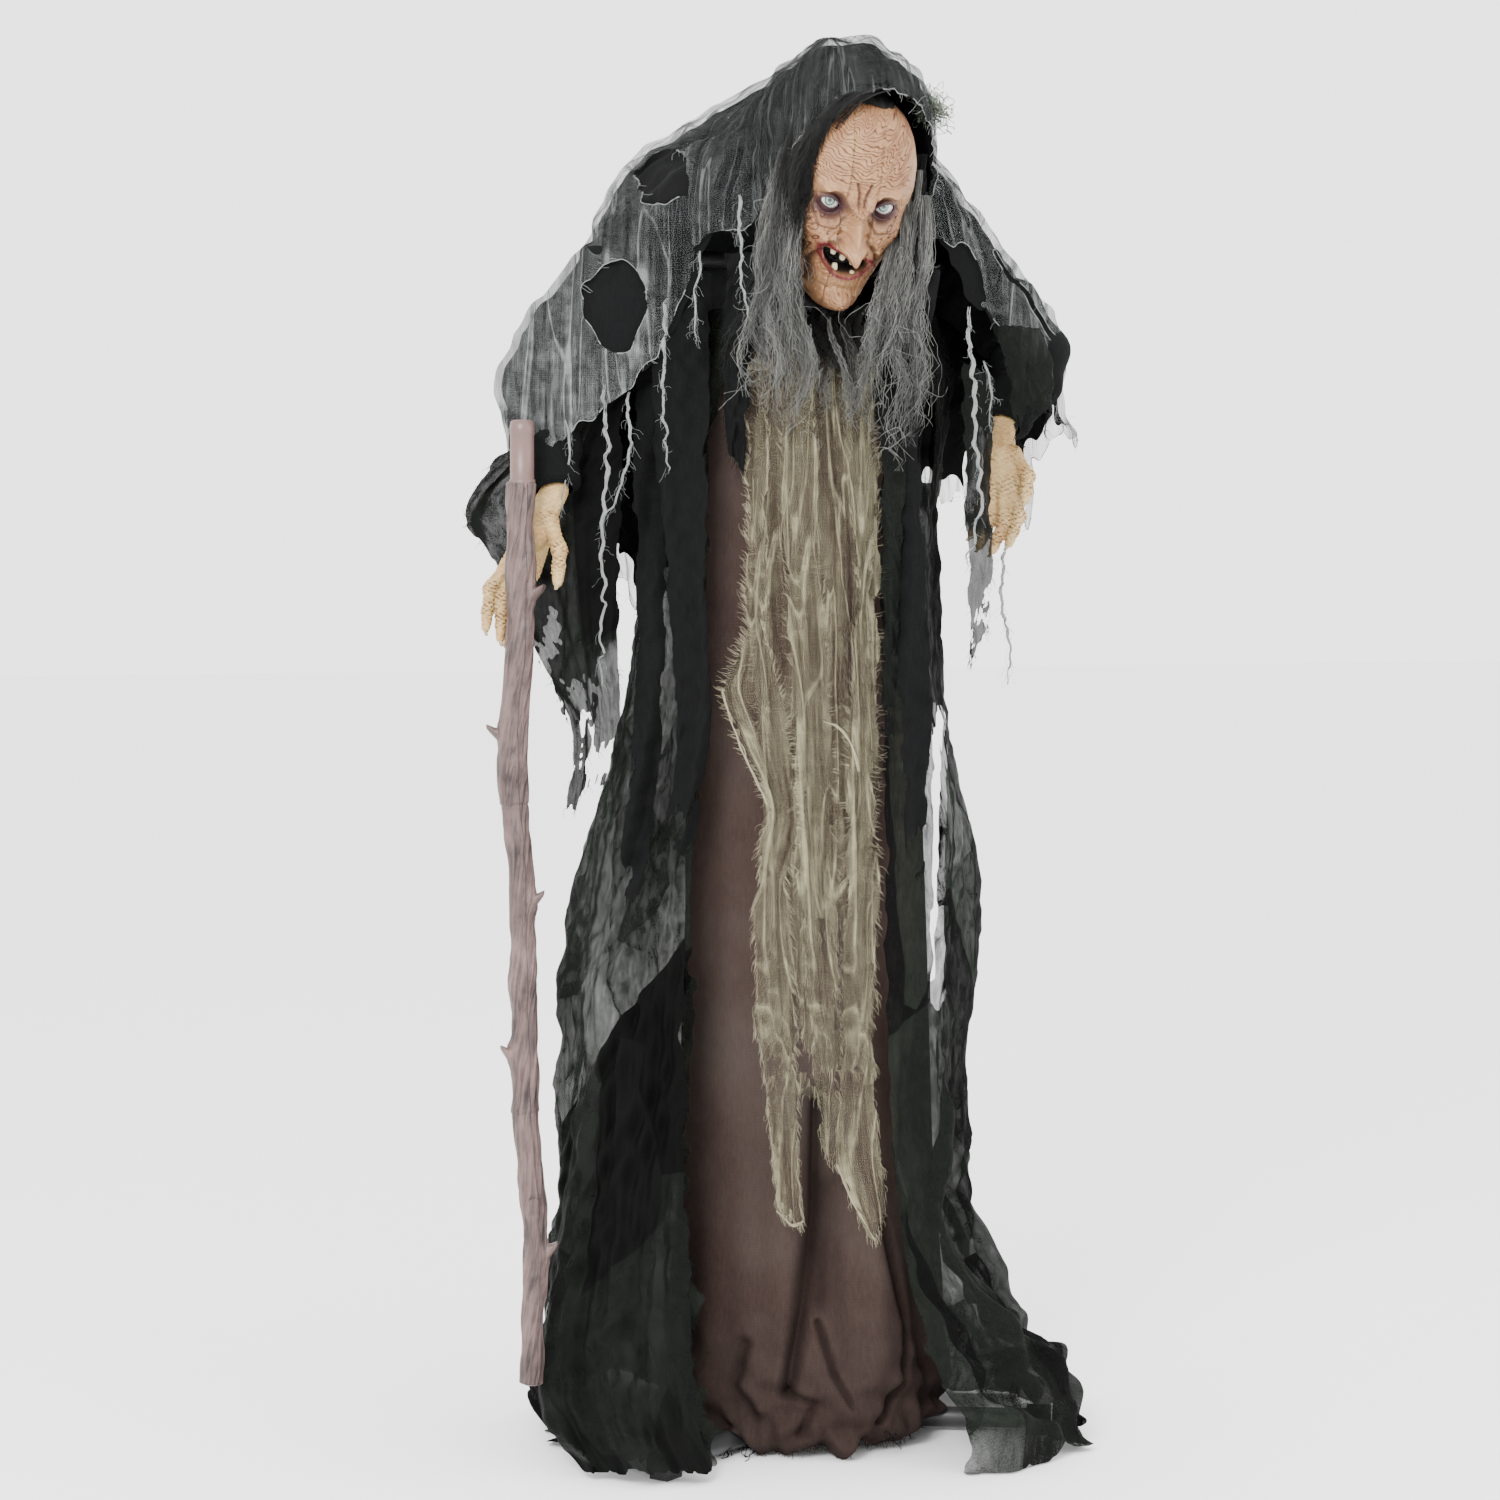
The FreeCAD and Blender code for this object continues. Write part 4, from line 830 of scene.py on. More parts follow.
DRESS_TABLE = [(0, 0.170, 0.158), (0.03, 0.176, 0.164), (0.10, 0.178, 0.165), (0.30, 0.160, 0.142),
               (1.00, 0.150, 0.114), (1.378, 0.140, 0.107)]
turns, heights = np.meshgrid(np.linspace(0, 2 * math.pi, 420, endpoint=False),
                             np.concatenate([np.linspace(1.375, 0.30, 90), np.linspace(0.296, 0.004, 100)]),
                             indexing="ij")
wide, deep = by_height(heights, DRESS_TABLE)
DRUM = 0.17
ring = np.stack([np.cos(turns), np.sin(turns), np.zeros_like(turns)], -1)
body = ring * np.stack([wide, deep, wide * 0], -1)
across, front = body @ SIDEWAYS, smooth(body @ FORWARD, -0.02, 0.04)
low = smooth(-heights, -0.42, -0.05)
folds = ripple(on_drum(turns, DRUM, heights * 0.20), 0.085, 31, 10) * (0.0025 + 0.007 * low)
gathers = ripple(on_drum(turns, DRUM, heights * 0.5), 0.030, 32, 10)
crumple = ripple(on_drum(turns, DRUM, heights), 0.045, 33, 10)
CREASES = (([(0.012, 0.44), (0.008, 0.30), (-0.008, 0.18), (-0.024, 0.085)], 0.0085, 0.024),
           ([(0.020, 0.33), (0.012, 0.20)], 0.014, 0.016), ([(0.094, 0.28), (0.120, 0.16), (0.116, 0.09),
           (0.086, 0.045)], 0.006, 0.018), ([(0.012, 0.17), (0.030, 0.11), (0.050, 0.070)], 0.004, 0.009),
           ([(-0.024, 0.085), (0.010, 0.072), (-0.010, 0.030)], 0.005, 0.008), ([(-0.075, 0.14),
           (-0.090, 0.09), (-0.060, 0.055)], 0.008, 0.008))
lift = folds + gathers * 0.006 * smooth(-heights, -0.10, -0.01)
lift = lift + crumple * 0.006 * smooth(-heights, -0.20, -0.04)
for line, width, sunk in CREASES:
    lift = lift - sunk * front * bell(near_line(across, heights, line), 0, width)
lift = lift + front * 0.012 * bell(np.hypot((across - 0.065) / 0.05, (heights - 0.10) / 0.07), 0, 1)
lift = lift - 0.014 * smooth(-heights, -0.018, -0.004)
points = body + ring * lift[..., None] + heights[..., None] * UP
points[..., 2] += 0.010 * smooth(-heights, -0.05, 0) * (1 + ripple(ring, 0.30, 34, 8)) * 0.8
points[..., 2] = np.maximum(points[..., 2], 0.001)
uv = np.stack([turns * 0.165, heights], -1)
dress = sheet_mesh("dress_cloth", points, uv, BROWN, closed=True)
shade = 0.35 * smooth(-heights, -0.30, -0.02)
for line, width, sunk in CREASES:
    shade = np.maximum(shade, front * bell(near_line(across, heights, line), 0, width * 2.0) * 0.6)
paint(dress[0], "shade", np.clip(shade, 0, 1))
dress_threads = fringe("dress_hem_threads", dress, BROWN_THREAD, 35, 420, 0.012, high=0.05)
rng = np.random.default_rng(36)
tangle = []
for u, z in ((-0.088, 0.012), (-0.070, 0.014), (0.102, 0.030)):
    for _ in range(7):
        start = seen(u + rng.normal(0, 0.006), 0.150, z)
        line = strand(start, start + rng.normal(0, [0.014, 0.008, 0.008]) - UP * 0.012,
                      rng.normal(0, 0.003, 3),
                      int(rng.integers(1e6)), 10, 0.002, 0.02)
        line[:, 2] = np.maximum(line[:, 2], 0.001)
        tangle.append(line)
hem_tangles = tubes("dress_hem_tangles", tangle, [0.0006] * len(tangle), BLACK_THREAD)

# ------------------------------------------------------------------ sheer robe

# height, reach to the viewer's left, to the right, forwards and backwards
ROBE_TABLE = [(0.00, 0.318, 0.322, 0.235, 0.285), (0.03, 0.322, 0.318, 0.235, 0.278),
              (0.08, 0.318, 0.292, 0.225, 0.250), (0.17, 0.322, 0.232, 0.205, 0.212),
              (0.29, 0.293, 0.186, 0.185, 0.195), (0.42, 0.310, 0.196, 0.180, 0.200),
              (0.54, 0.305, 0.205, 0.172, 0.200), (0.73, 0.268, 0.203, 0.160, 0.180),
              (0.92, 0.225, 0.170, 0.150, 0.160), (1.15, 0.195, 0.165, 0.140, 0.150),
              (1.33, 0.190, 0.180, 0.132, 0.145), (1.40, 0.150, 0.150, 0.110, 0.130)]
rows = np.concatenate([np.linspace(1.40, 0.35, 120), np.linspace(0.345, 0.003, 100)])
part, heights = np.meshgrid(np.linspace(0, 1, 460), rows, indexing="ij")
to_left, to_right, forwards, backwards = by_height(heights, ROBE_TABLE)
open_left = np.interp(heights, [0, 0.12, 0.4, 0.9, 1.25, 1.40], [0.095, 0.128, 0.136, 0.128, 0.118, 0.07])
open_right = np.interp(heights, [0, 0.15, 0.5, 0.9, 1.25, 1.40], [0.165, 0.130, 0.092, 0.088, 0.090, 0.05])
start = np.arcsin(np.clip(open_left / to_left, 0, 0.98))
stop = 2 * math.pi - np.arcsin(np.clip(open_right / to_right, 0, 0.98))
phi = start + (stop - start) * part
sine, cosine = np.sin(phi), np.cos(phi)
u = -sine * np.where(sine > 0, to_left, to_right)
d = cosine * np.where(cosine > 0, forwards, backwards)
# cloth thrown over the leg that stands out in front
leg_way = seen(np.array(0.855), np.array(0.52), np.array(0.0))
flat = seen(u, d, u * 0)
length = np.linalg.norm(flat, axis=-1)
facing = (flat @ leg_way) / length
over_leg = smooth(facing, 0.86, 0.995) * smooth(-heights, -0.24, -0.03)
flat = flat * (1 + over_leg * (0.335 / length - 1) * 1.0)[..., None]
outward = flat / np.linalg.norm(flat, axis=-1, keepdims=True)
low = smooth(-heights, -0.9, -0.1)
DRUM = 0.22
roll = on_drum(phi, DRUM, heights * 0.14)
pleats = ripple(roll, 0.075, 41, 12)
slant = ripple(on_drum(phi, DRUM, heights * 0.75), 0.16, 42, 10)
crumple = ripple(on_drum(phi, DRUM, heights), 0.055, 43, 12)
fine = ripple(on_drum(phi, DRUM, heights), 0.018, 44, 10)
run = phi * DRUM + slant * 0.030
facets = np.maximum(fold_wave((run + heights * 0.42) / 0.150),
                    0.9 * fold_wave((run - heights * 0.55) / 0.190 + 0.3))
facets = np.minimum(facets, fold_wave(run / 0.110 + slant * 0.25) + 0.7)
lift = (pleats * (0.006 + 0.008 * low) + facets * (0.004 + 0.012 * low) + fine * 0.0014
        + crumple * (0.001 + 0.016 * smooth(-heights, -0.28, -0.05)))
lift = lift * (1 - 0.6 * over_leg)
points = flat + outward * lift[..., None] + heights[..., None] * UP
pool = smooth(-heights, -0.035, 0)
points[..., 2] = np.maximum(points[..., 2] + 0.012 * crumple * smooth(-heights, -0.2, -0.06), 0.002)
points += outward * (pool * 0.022 * (0.6 + ripple(roll, 0.12, 45, 6)))[..., None]
uv = np.stack([part * 1.30, heights], -1)
ragged = heights > 0.006 * (1 + ripple(roll, 0.02, 46, 8))
side_edge = np.minimum(part, 1 - part) * 1.2 > 0.004 * (1 + ripple(uv, 0.03, 47, 8))
across, slit_width = points @ SIDEWAYS, 0.0075 * (1 + 0.2 * ripple(uv, 0.05, 48, 8))
slits = np.minimum(near_line(across, heights, [(0.166, 0.90), (0.160, 0.56)]),
                   near_line(across, heights, [(0.150, 1.28), (0.148, 1.20)]))
robe = sheet_mesh("robe_cloth", points, uv, SHEER, ragged & side_edge & (slits > slit_width))

# the heap of cloth on the floor beside the dress, at the viewer's left
heap = curtain("robe_train", [(-0.302, 0.12, 0.40), (-0.318, 0.15, 0.22), (-0.326, 0.19, 0.08),
                              (-0.268, 0.250, 0.006)],
               [(-0.142, 0.175, 0.64), (-0.140, 0.205, 0.30), (-0.130, 0.248, 0.09),
                (-0.108, 0.262, 0.003)], DRAPE, 61, (110, 150), 0.080, 0.024, 0.030, 0.003, 0.002)

# ------------------------------------------------------------------ beige gauze down the front

APRON = {
    "back": ([(-0.062, 0.150, 1.335), (-0.070, 0.150, 1.15), (-0.062, 0.150, 0.92), (-0.052, 0.155, 0.70),
              (-0.048, 0.165, 0.46)],
             [(0.080, 0.148, 1.335), (0.088, 0.148, 1.10), (0.086, 0.150, 0.85), (0.082, 0.158, 0.60),
              (0.085, 0.168, 0.42)], 71, 0.030, 0.008, 0.03),
    "left": ([(-0.076, 0.156, 1.32), (-0.074, 0.158, 1.12), (-0.080, 0.162, 0.99), (-0.103, 0.166, 0.936),
              (-0.080, 0.168, 0.87),
              (-0.050, 0.170, 0.80), (-0.062, 0.172, 0.72), (-0.064, 0.174, 0.56), (-0.045, 0.178, 0.40),
              (-0.037, 0.180, 0.305)],
             [(-0.045, 0.162, 1.32), (-0.048, 0.164, 1.12), (-0.045, 0.166, 0.99), (-0.030, 0.168, 0.93),
              (-0.018, 0.170, 0.86), (-0.012, 0.172, 0.78), (-0.022, 0.174, 0.70), (-0.014, 0.176, 0.56),
              (-0.010, 0.178, 0.40), (-0.006, 0.180, 0.290)], 72, 0.026, 0.007, 0.012),
    "middle": ([(-0.034, 0.160, 1.33), (-0.028, 0.162, 1.10), (-0.020, 0.164, 0.90), (-0.012, 0.168, 0.70),
                (0.010, 0.172, 0.45), (0.020, 0.176, 0.355)],
               [(0.010, 0.160, 1.33), (0.018, 0.163, 1.10), (0.030, 0.165, 0.90), (0.036, 0.169, 0.70),
                (0.042, 0.173, 0.45), (0.045, 0.176, 0.345)], 73, 0.022, 0.007, 0.02),
    "right": ([(0.040, 0.160, 1.33), (0.050, 0.163, 1.16), (0.058, 0.166, 1.05), (0.048, 0.166, 0.90),
               (0.045, 0.168, 0.70), (0.040, 0.174, 0.48), (0.036, 0.178, 0.36), (0.076, 0.182, 0.275)],
              [(0.074, 0.158, 1.33), (0.088, 0.160, 1.16), (0.070, 0.164, 1.04), (0.084, 0.164, 0.93),
               (0.088, 0.166, 0.72), (0.082, 0.172, 0.48), (0.096, 0.176, 0.34), (0.094, 0.180, 0.285)],
              74, 0.024, 0.008, 0.010),
}
apron_layers = {}
for name, (left, right, seed, fold, depth, ragged) in APRON.items():
    torn = [(0.02, 0.60, 0.012, 0.05), (0.055, 0.44, 0.010, 0.04)] if name == "back" else ()
    apron_layers[name] = curtain(f"apron_{name}", left, right, BEIGE_GAUZE, seed, (44, 260), fold, depth,
                                 0.004, ragged, 0.003, torn)
apron_fringe = []
for k, (name, made) in enumerate(apron_layers.items()):
    threads = 1500 if name == "left" else 420
    apron_fringe.append(fringe(f"apron_{name}_fringe", made, BEIGE_THREAD, 80 + k, threads, 0.015,
                               0.35, 0.00024, sideways=2.2))
rolled = []
for k, corners in enumerate(([(-0.103, 0.170, 0.936), (-0.080, 0.172, 0.868), (-0.048, 0.174, 0.80)],
                             [(0.036, 0.182, 0.365), (0.055, 0.185, 0.32), (0.080, 0.186, 0.277)],
                             [(0.020, 0.170, 0.90), (0.045, 0.172, 0.885), (0.062, 0.172, 0.84)],
                             [(-0.037, 0.182, 0.310), (-0.020, 0.184, 0.292), (-0.006, 0.184, 0.296)])):
    for j in range(3):
        line = flow(corners, 50)
        shift = np.stack([ripple(line, 0.03, 900 + 10 * k + j + 100 * i, 5) for i in range(3)], -1) * 0.0012
        rolled.append(line + shift)
rolled_edges = tubes("apron_rolled_edges", rolled, [0.0006] * len(rolled), BEIGE_THREAD, 4)

# ------------------------------------------------------------------ black cloth hanging beside the opening

STRIPS = {
    "strip_right": ([(-0.190, 0.150, 1.42), (-0.186, 0.168, 1.25), (-0.168, 0.178, 1.05),
                     (-0.160, 0.182, 0.90), (-0.178, 0.185, 0.71)],
                    [(-0.115, 0.130, 1.44), (-0.118, 0.160, 1.25), (-0.122, 0.172, 1.05),
                     (-0.116, 0.176, 0.90), (-0.132, 0.180, 0.76)], BLACK, "torso", 91, 0.035),
    "strip_inner": ([(-0.205, 0.130, 1.36), (-0.212, 0.150, 1.20), (-0.205, 0.165, 1.0),
                     (-0.218, 0.172, 0.80), (-0.235, 0.172, 0.66)],
                    [(-0.150, 0.130, 1.36), (-0.165, 0.150, 1.20), (-0.170, 0.165, 1.0),
                     (-0.180, 0.172, 0.80), (-0.205, 0.172, 0.67)], BLACK, "torso", 92, 0.030),
    "strip_left": ([(0.105, 0.165, 1.44), (0.108, 0.172, 1.28), (0.104, 0.174, 1.10), (0.110, 0.176, 0.92),
                    (0.118, 0.176, 0.70)],
                   [(0.160, 0.150, 1.44), (0.140, 0.160, 1.28), (0.142, 0.168, 1.10), (0.150, 0.172, 0.92),
                    (0.140, 0.174, 0.72)], BLACK, "torso", 93, 0.034),
    # black cloth as painted shade: it darkens the place under the hair where dark hair and shade lie
    "strip_under_hair": ([(-0.100, 0.150, 1.46), (-0.104, 0.158, 1.36), (-0.100, 0.160, 1.27),
                          (-0.092, 0.160, 1.18)],
                         [(-0.030, 0.160, 1.46), (-0.060, 0.160, 1.36), (-0.070, 0.160, 1.27),
                          (-0.078, 0.160, 1.18)], BLACK, "torso", 94, 0.03),
    "strip_front_left": ([(0.084, 0.150, 1.365), (0.086, 0.168, 1.30), (0.088, 0.170, 1.20),
                          (0.086, 0.170, 0.86)],
                         [(0.130, 0.150, 1.365), (0.128, 0.166, 1.30), (0.120, 0.168, 1.20),
                          (0.104, 0.170, 0.86)], DRAPE, "torso", 95, 0.03),
    "drape_right": ([(-0.372, 0.165, 1.216), (-0.418, 0.120, 1.151), (-0.386, 0.150, 1.100),
                     (-0.326, 0.180, 0.980), (-0.284, 0.178, 0.893), (-0.290, 0.170, 0.785)],
                    [(-0.215, 0.140, 1.30), (-0.222, 0.150, 1.164), (-0.226, 0.155, 1.044),
                     (-0.226, 0.160, 0.95), (-0.224, 0.165, 0.88), (-0.240, 0.168, 0.820)],
                    DRAPE, "right_arm", 96, 0.05),
    "drape_right_back": ([(-0.330, 0.060, 1.30), (-0.350, 0.070, 1.15), (-0.340, 0.080, 1.02),
                          (-0.320, 0.090, 0.92)],
                         [(-0.230, 0.080, 1.32), (-0.235, 0.085, 1.15), (-0.245, 0.095, 1.00),
                          (-0.262, 0.100, 0.86)], DRAPE, "right_arm", 97, 0.05),
    "drape_left": ([(0.232, 0.055, 1.38), (0.240, 0.065, 1.33), (0.246, 0.070, 1.29),
                    (0.252, 0.075, 1.235)],
                   [(0.292, 0.000, 1.38), (0.304, 0.015, 1.33), (0.304, 0.025, 1.29),
                    (0.296, 0.035, 1.225)], DRAPE, "left_arm", 98, 0.03),
    "drape_left_inner": ([(0.184, 0.150, 1.33), (0.184, 0.155, 1.20), (0.188, 0.160, 1.05),
                          (0.192, 0.168, 0.945)],
                         [(0.229, 0.130, 1.31), (0.225, 0.135, 1.18), (0.224, 0.145, 1.08),
                          (0.216, 0.155, 0.985)], DRAPE, "left_arm", 99, 0.04),
}
strips = {}
for name, (left, right, material, body_name, seed, ragged) in STRIPS.items():
    made = curtain(name, left, right, material, seed, (60, 170), 0.040, 0.009, 0.006, ragged, 0.003)
    threads = fringe(f"{name}_threads", made, BLACK_THREAD, seed + 100, 150, 0.013)
    strips[name] = (made, threads, body_name)

# ------------------------------------------------------------------ sleeves


def through(corners, count):
    """Evenly spaced points on a smooth line through a few corners of the row frame."""
    corners = np.asarray(corners, float)
    flat = np.stack([corners @ SIDEWAYS, corners @ FORWARD, corners[:, 2]], -1)
    return flow(flat, count)


def around_line(line, radius, count, first=(0, 0, 1)):
    """Rings of points about a line. Gives the points, the outward directions and the angles."""
    way = np.gradient(line, axis=0)
    way /= np.linalg.norm(way, axis=1)[:, None]
    side = np.cross(way, np.asarray(first, float))
    side /= np.linalg.norm(side, axis=1)[:, None]
    other = np.cross(way, side)
    angles = np.linspace(0, 2 * math.pi, count, endpoint=False)[:, None]
    out = np.cos(angles)[..., None] * side[None] + np.sin(angles)[..., None] * other[None]
    return line[None] + out * np.asarray(radius)[..., None], out, angles


sleeves = {}
ROUND, LONG = 90, 150
for name, (shoulder, elbow, wrist, _) in ARM_LINE.items():
    line = through([shoulder, elbow, wrist], LONG)
    t = np.linspace(0, 1, LONG)
    radius = np.interp(t, [0, 0.35, 0.60, 0.86, 0.93, 1], [0.052, 0.052, 0.048, 0.036, 0.034, 0.032])
    rings, out, angles = around_line(line, np.broadcast_to(radius, (ROUND, LONG)), ROUND, (0, 1, 0.2))
    seed = 110 if name == "right" else 120
    where = np.concatenate([out * 0.05, np.broadcast_to(t[None, :, None] * 0.45, (ROUND, LONG, 1))], -1)
    loose = smooth(t, 0.02, 0.1) * smooth(-t, -0.93, -0.86)
    lift = ripple(where, 0.080, seed, 10) * 0.005
    lift = (lift + ripple(where * [0.5, 0.5, 0.5, 1.2], 0.060, seed + 1, 10) * 0.003) * loose
    ribs = 0.0008 * np.cos(angles * 30) * smooth(t, 0.88, 0.92) - 0.010 * smooth(t, 0.985, 1.0)
    points = rings + out * (lift + ribs)[..., None]
    uv = stacked(angles * 0.045, t[None] * 0.35)
    sleeves[name] = sheet_mesh(f"{name}_sleeve_cloth", points, uv, BLACK, closed=True)[0]

# ------------------------------------------------------------------ hands


def solid_from_balls(name, chains, material, voxel=0.0017, smoothing=5):
    """One skin over rows of balls. Each chain is a list of (point, radius)."""
    centres, sizes = [], []
    for chain in chains:
        for (p, a), (q, b) in zip(chain, chain[1:]):
            p, q = np.asarray(p, float), np.asarray(q, float)
            steps = max(2, int(np.linalg.norm(q - p) / (0.22 * min(a, b))))
            for t in np.linspace(0, 1, steps):
                centres.append(p + (q - p) * t)
                sizes.append(a + (b - a) * t)
    ball = bmesh.new()
    bmesh.ops.create_icosphere(ball, subdivisions=2, radius=1)
    corners = np.array([v.co for v in ball.verts])
    triangles = np.array([[v.index for v in f.verts] for f in ball.faces])
    ball.free()
    points = np.asarray(centres)[:, None] + np.asarray(sizes)[:, None, None] * corners[None]
    faces = (triangles[None] + np.arange(len(centres))[:, None, None] * len(corners)).reshape(-1, 3)
    made = new_mesh(name, points.reshape(-1, 3), faces, material)
    remesh = made.modifiers.new("skin", "REMESH")
    remesh.mode, remesh.voxel_size, remesh.use_smooth_shade = "VOXEL", voxel, True
    even = made.modifiers.new("even", "SMOOTH")
    even.iterations, even.factor = smoothing, 0.5
    done = bpy.data.meshes.new_from_object(made.evaluated_get(bpy.context.evaluated_depsgraph_get()))
    made.modifiers.clear()
    made.data = done
    return made


FINGERS = {
    "right": [[(-0.402, -0.034, 1.096), (-0.433, -0.036, 1.058), (-0.446, -0.056, 1.012)],
              [(-0.397, -0.030, 1.086), (-0.420, -0.044, 1.046), (-0.430, -0.062, 1.000)],
              [(-0.388, -0.028, 1.080), (-0.402, -0.020, 1.036), (-0.411, -0.036, 0.992)],
              [(-0.376, -0.030, 1.082), (-0.384, -0.018, 1.042), (-0.390, -0.032, 1.004)],
              [(-0.366, -0.056, 1.138), (-0.364, -0.086, 1.104), (-0.374, -0.104, 1.066)]],
    "left": [[(0.222, -0.128, 1.188), (0.224, -0.144, 1.148), (0.206, -0.150, 1.114)],
             [(0.212, -0.124, 1.182), (0.206, -0.136, 1.140), (0.190, -0.138, 1.106)],
             [(0.204, -0.116, 1.180), (0.196, -0.120, 1.142), (0.182, -0.120, 1.112)],
             [(0.200, -0.106, 1.184), (0.192, -0.104, 1.152), (0.180, -0.102, 1.126)],
             [(0.228, -0.120, 1.226), (0.236, -0.144, 1.198), (0.226, -0.156, 1.168)]],
}
KNUCKLES = {"right": (-0.390, -0.035, 1.090), "left": (0.210, -0.117, 1.194)}
THUMB = 4                        # its place among the digits
LAST_JOINT = 0.52                # where it lies between the middle joint and the tip


def nail(name, start, tip, dorsal, wide):
    """A long curved nail on the back of a finger's end."""
    way = unit(tip - start)
    up = unit(dorsal - way * (dorsal @ way))
    side = np.cross(way, up)
    s, t = np.meshgrid(np.linspace(-1, 1, 9), np.linspace(0, 1, 14), indexing="ij")
    half = wide * np.interp(t, [0, 0.15, 0.6, 0.85, 1], [0.7, 1.0, 0.9, 0.6, 0.12])
    rise = wide * 1.05 * np.sqrt(np.maximum(1 - (s * 0.85) ** 2, 0)) - 0.0016 * t ** 2 * 3 - 0.0008
    top = (tip - way * 0.011)[None, None] + way * (t * 0.021)[..., None]
    top = top + side * (s * half)[..., None] + up * rise[..., None]
    under = top - up * 0.0011
    grid = np.concatenate([top, under[::-1]])
    return sheet_mesh(name, grid, np.stack([s, t], -1).repeat(2, 0), NAIL, closed=True, soften=0)[0]


hands = {}
for name, digits in FINGERS.items():
    wrist, rod_end = (np.asarray(p) for p in ARM_LINE[name][2:])
    knuckles = np.asarray(KNUCKLES[name])
    chains = [[(wrist, 0.0175), (wrist + (rod_end - wrist) * 0.5, 0.0175), (rod_end, 0.0215)]]
    nails = []
    for k, digit in enumerate(digits):
        base, joint, tip = (np.asarray(p) for p in digit)
        thick = 1.0 if k < THUMB else 1.12
        if k < THUMB:
            chains.append([(rod_end, 0.0185), (base + unit(joint - base) * 0.004, 0.0108)])
            chains.append([(wrist + (base - knuckles) * 0.35, 0.0080), (base, 0.0112)])
        else:
            chains.append([(rod_end, 0.017), (base, 0.0125)])
        last = joint + (tip - joint) * LAST_JOINT
        chains.append([(base, 0.0112 * thick), (base + (joint - base) * 0.5, 0.0078 * thick),
                       (joint, 0.0092 * thick), (joint + (tip - joint) * 0.25, 0.0070 * thick),
                       (last, 0.0078 * thick), (tip, 0.0056 * thick)])
        bend = unit(tip - joint) - unit(joint - base)
        nails.append(nail(f"{name}_nail_{k + 1}", last, tip, -bend, 0.0052 * thick))
    hand = solid_from_balls(f"{name}_hand_skin", chains, HAND_SKIN)
    points = mesh_points(hand)
    near = np.full(len(points), 9.0)
    for digit in digits:
        base, joint, tip = (np.asarray(p) for p in digit)
        for crook in (base, joint, joint + (tip - joint) * LAST_JOINT):
            near = np.minimum(near, np.linalg.norm(points - crook, axis=1))
    lines = ripple(points * [1, 1, 2.6], 0.0058, 131, 9)
    veins = 1 - np.abs(ripple(points * [1, 1, 0.45], 0.016, 132, 9))
    push_out(hand, lines * 0.00035 * (1 + 2 * bell(near, 0.006, 0.007)) + np.maximum(veins - 0.7, 0)
             * 0.0030)
    # painted shade along the skin's wrinkle lines, strongest at the finger joints
    paint(hand, "crease", np.clip(-lines, 0, 1) * (0.35 + bell(near, 0.006, 0.008)))
    for extra in ("socket", "lip", "dark"):
        paint(hand, extra, np.zeros(len(points)))
    hands[name] = (hand, nails)

# ------------------------------------------------------------------ cane

CANE_X, CANE_Y = -0.408, -0.074
bends = np.array([(1.256, 0.002), (1.185, 0.001), (1.095, -0.001), (0.980, -0.002), (0.916, -0.010),
                  (0.850, -0.012), (0.784, -0.008), (0.749, -0.002), (0.600, 0.000), (0.443, 0.0025),
                  (0.360, 0.010), (0.279, 0.0165), (0.200, 0.013), (0.112, 0.0105)])
ROUND, LONG, STICK = 96, 760, 0.017
levels = np.linspace(1.184, 0.112, LONG)
shift = sum(np.interp(levels + h, bends[::-1, 0], bends[::-1, 1])
            for h in (-0.02, -0.01, 0, 0.01, 0.02)) / 5
away = ripple(levels[:, None] * [1.0], 0.22, 141, 6) * 0.003
line = stacked(CANE_X, CANE_Y, levels) + SIDEWAYS * shift[:, None] + FORWARD * away[:, None]
radius = np.interp(levels, [0.112, 0.436, 0.4361, 0.803, 0.8031, 1.184],
                   [0.0142, 0.0150, 0.0162, 0.0158, 0.0172, 0.0178])
rings, out, angles = around_line(line, np.broadcast_to(radius, (ROUND, LONG)), ROUND, (1, 0, 0))
wind = angles + levels[None] * 9.0
grain = on_drum(wind, STICK, levels[None] * 0.22)
knobs = ripple(on_drum(angles, STICK, levels[None]), 0.060, 142, 10)
ridges = ripple(grain, 0.0075, 143, 12)
lift = knobs * 0.0018 + ridges * 0.0007 - 0.0010 * np.abs(ripple(grain, 0.013, 144, 9))
pull = np.zeros(wind.shape)
# cut twigs: height, direction across and out, how far they stand out, their half width
for height, side, near, reach, width in ((1.052, 0.95, 0.30, 0.013, 0.0085),
                                         (0.886, -1.0, 0.1, 0.015, 0.0075),
                                         (0.690, 1.0, 0.2, 0.012, 0.0080),
                                         (0.508, -0.9, 0.4, 0.010, 0.0085),
                                         (0.328, 0.1, 1.0, 0.010, 0.0090),
                                         (0.272, 1.0, 0.2, 0.013, 0.0085)):
    way = unit(SIDEWAYS * side + FORWARD * near)
    lean = np.arccos(np.clip(out @ way, -1, 1)) * STICK
    far = np.hypot(lean, (levels[None] - height) * 0.9)
    lift += reach * smooth(-far, -width, -width * 0.25) + 0.0025 * bell(far, width * 1.1, 0.006)
    pull += 0.010 * smooth(-far, -width, -width * 0.2)
for seam in (0.437, 0.8036):
    lift -= 0.0012 * bell(levels[None], seam, 0.0012)
lift -= 0.006 * smooth(-levels[None], -0.1145, -0.112) + 0.0026 * smooth(levels[None], 1.1815, 1.184)
points = rings + out * lift[..., None] + pull[..., None] * UP
uv = stacked(wind * STICK, levels[None])
cane = sheet_mesh("cane_stick", points, uv, BARK, closed=True, soften=0)[0]


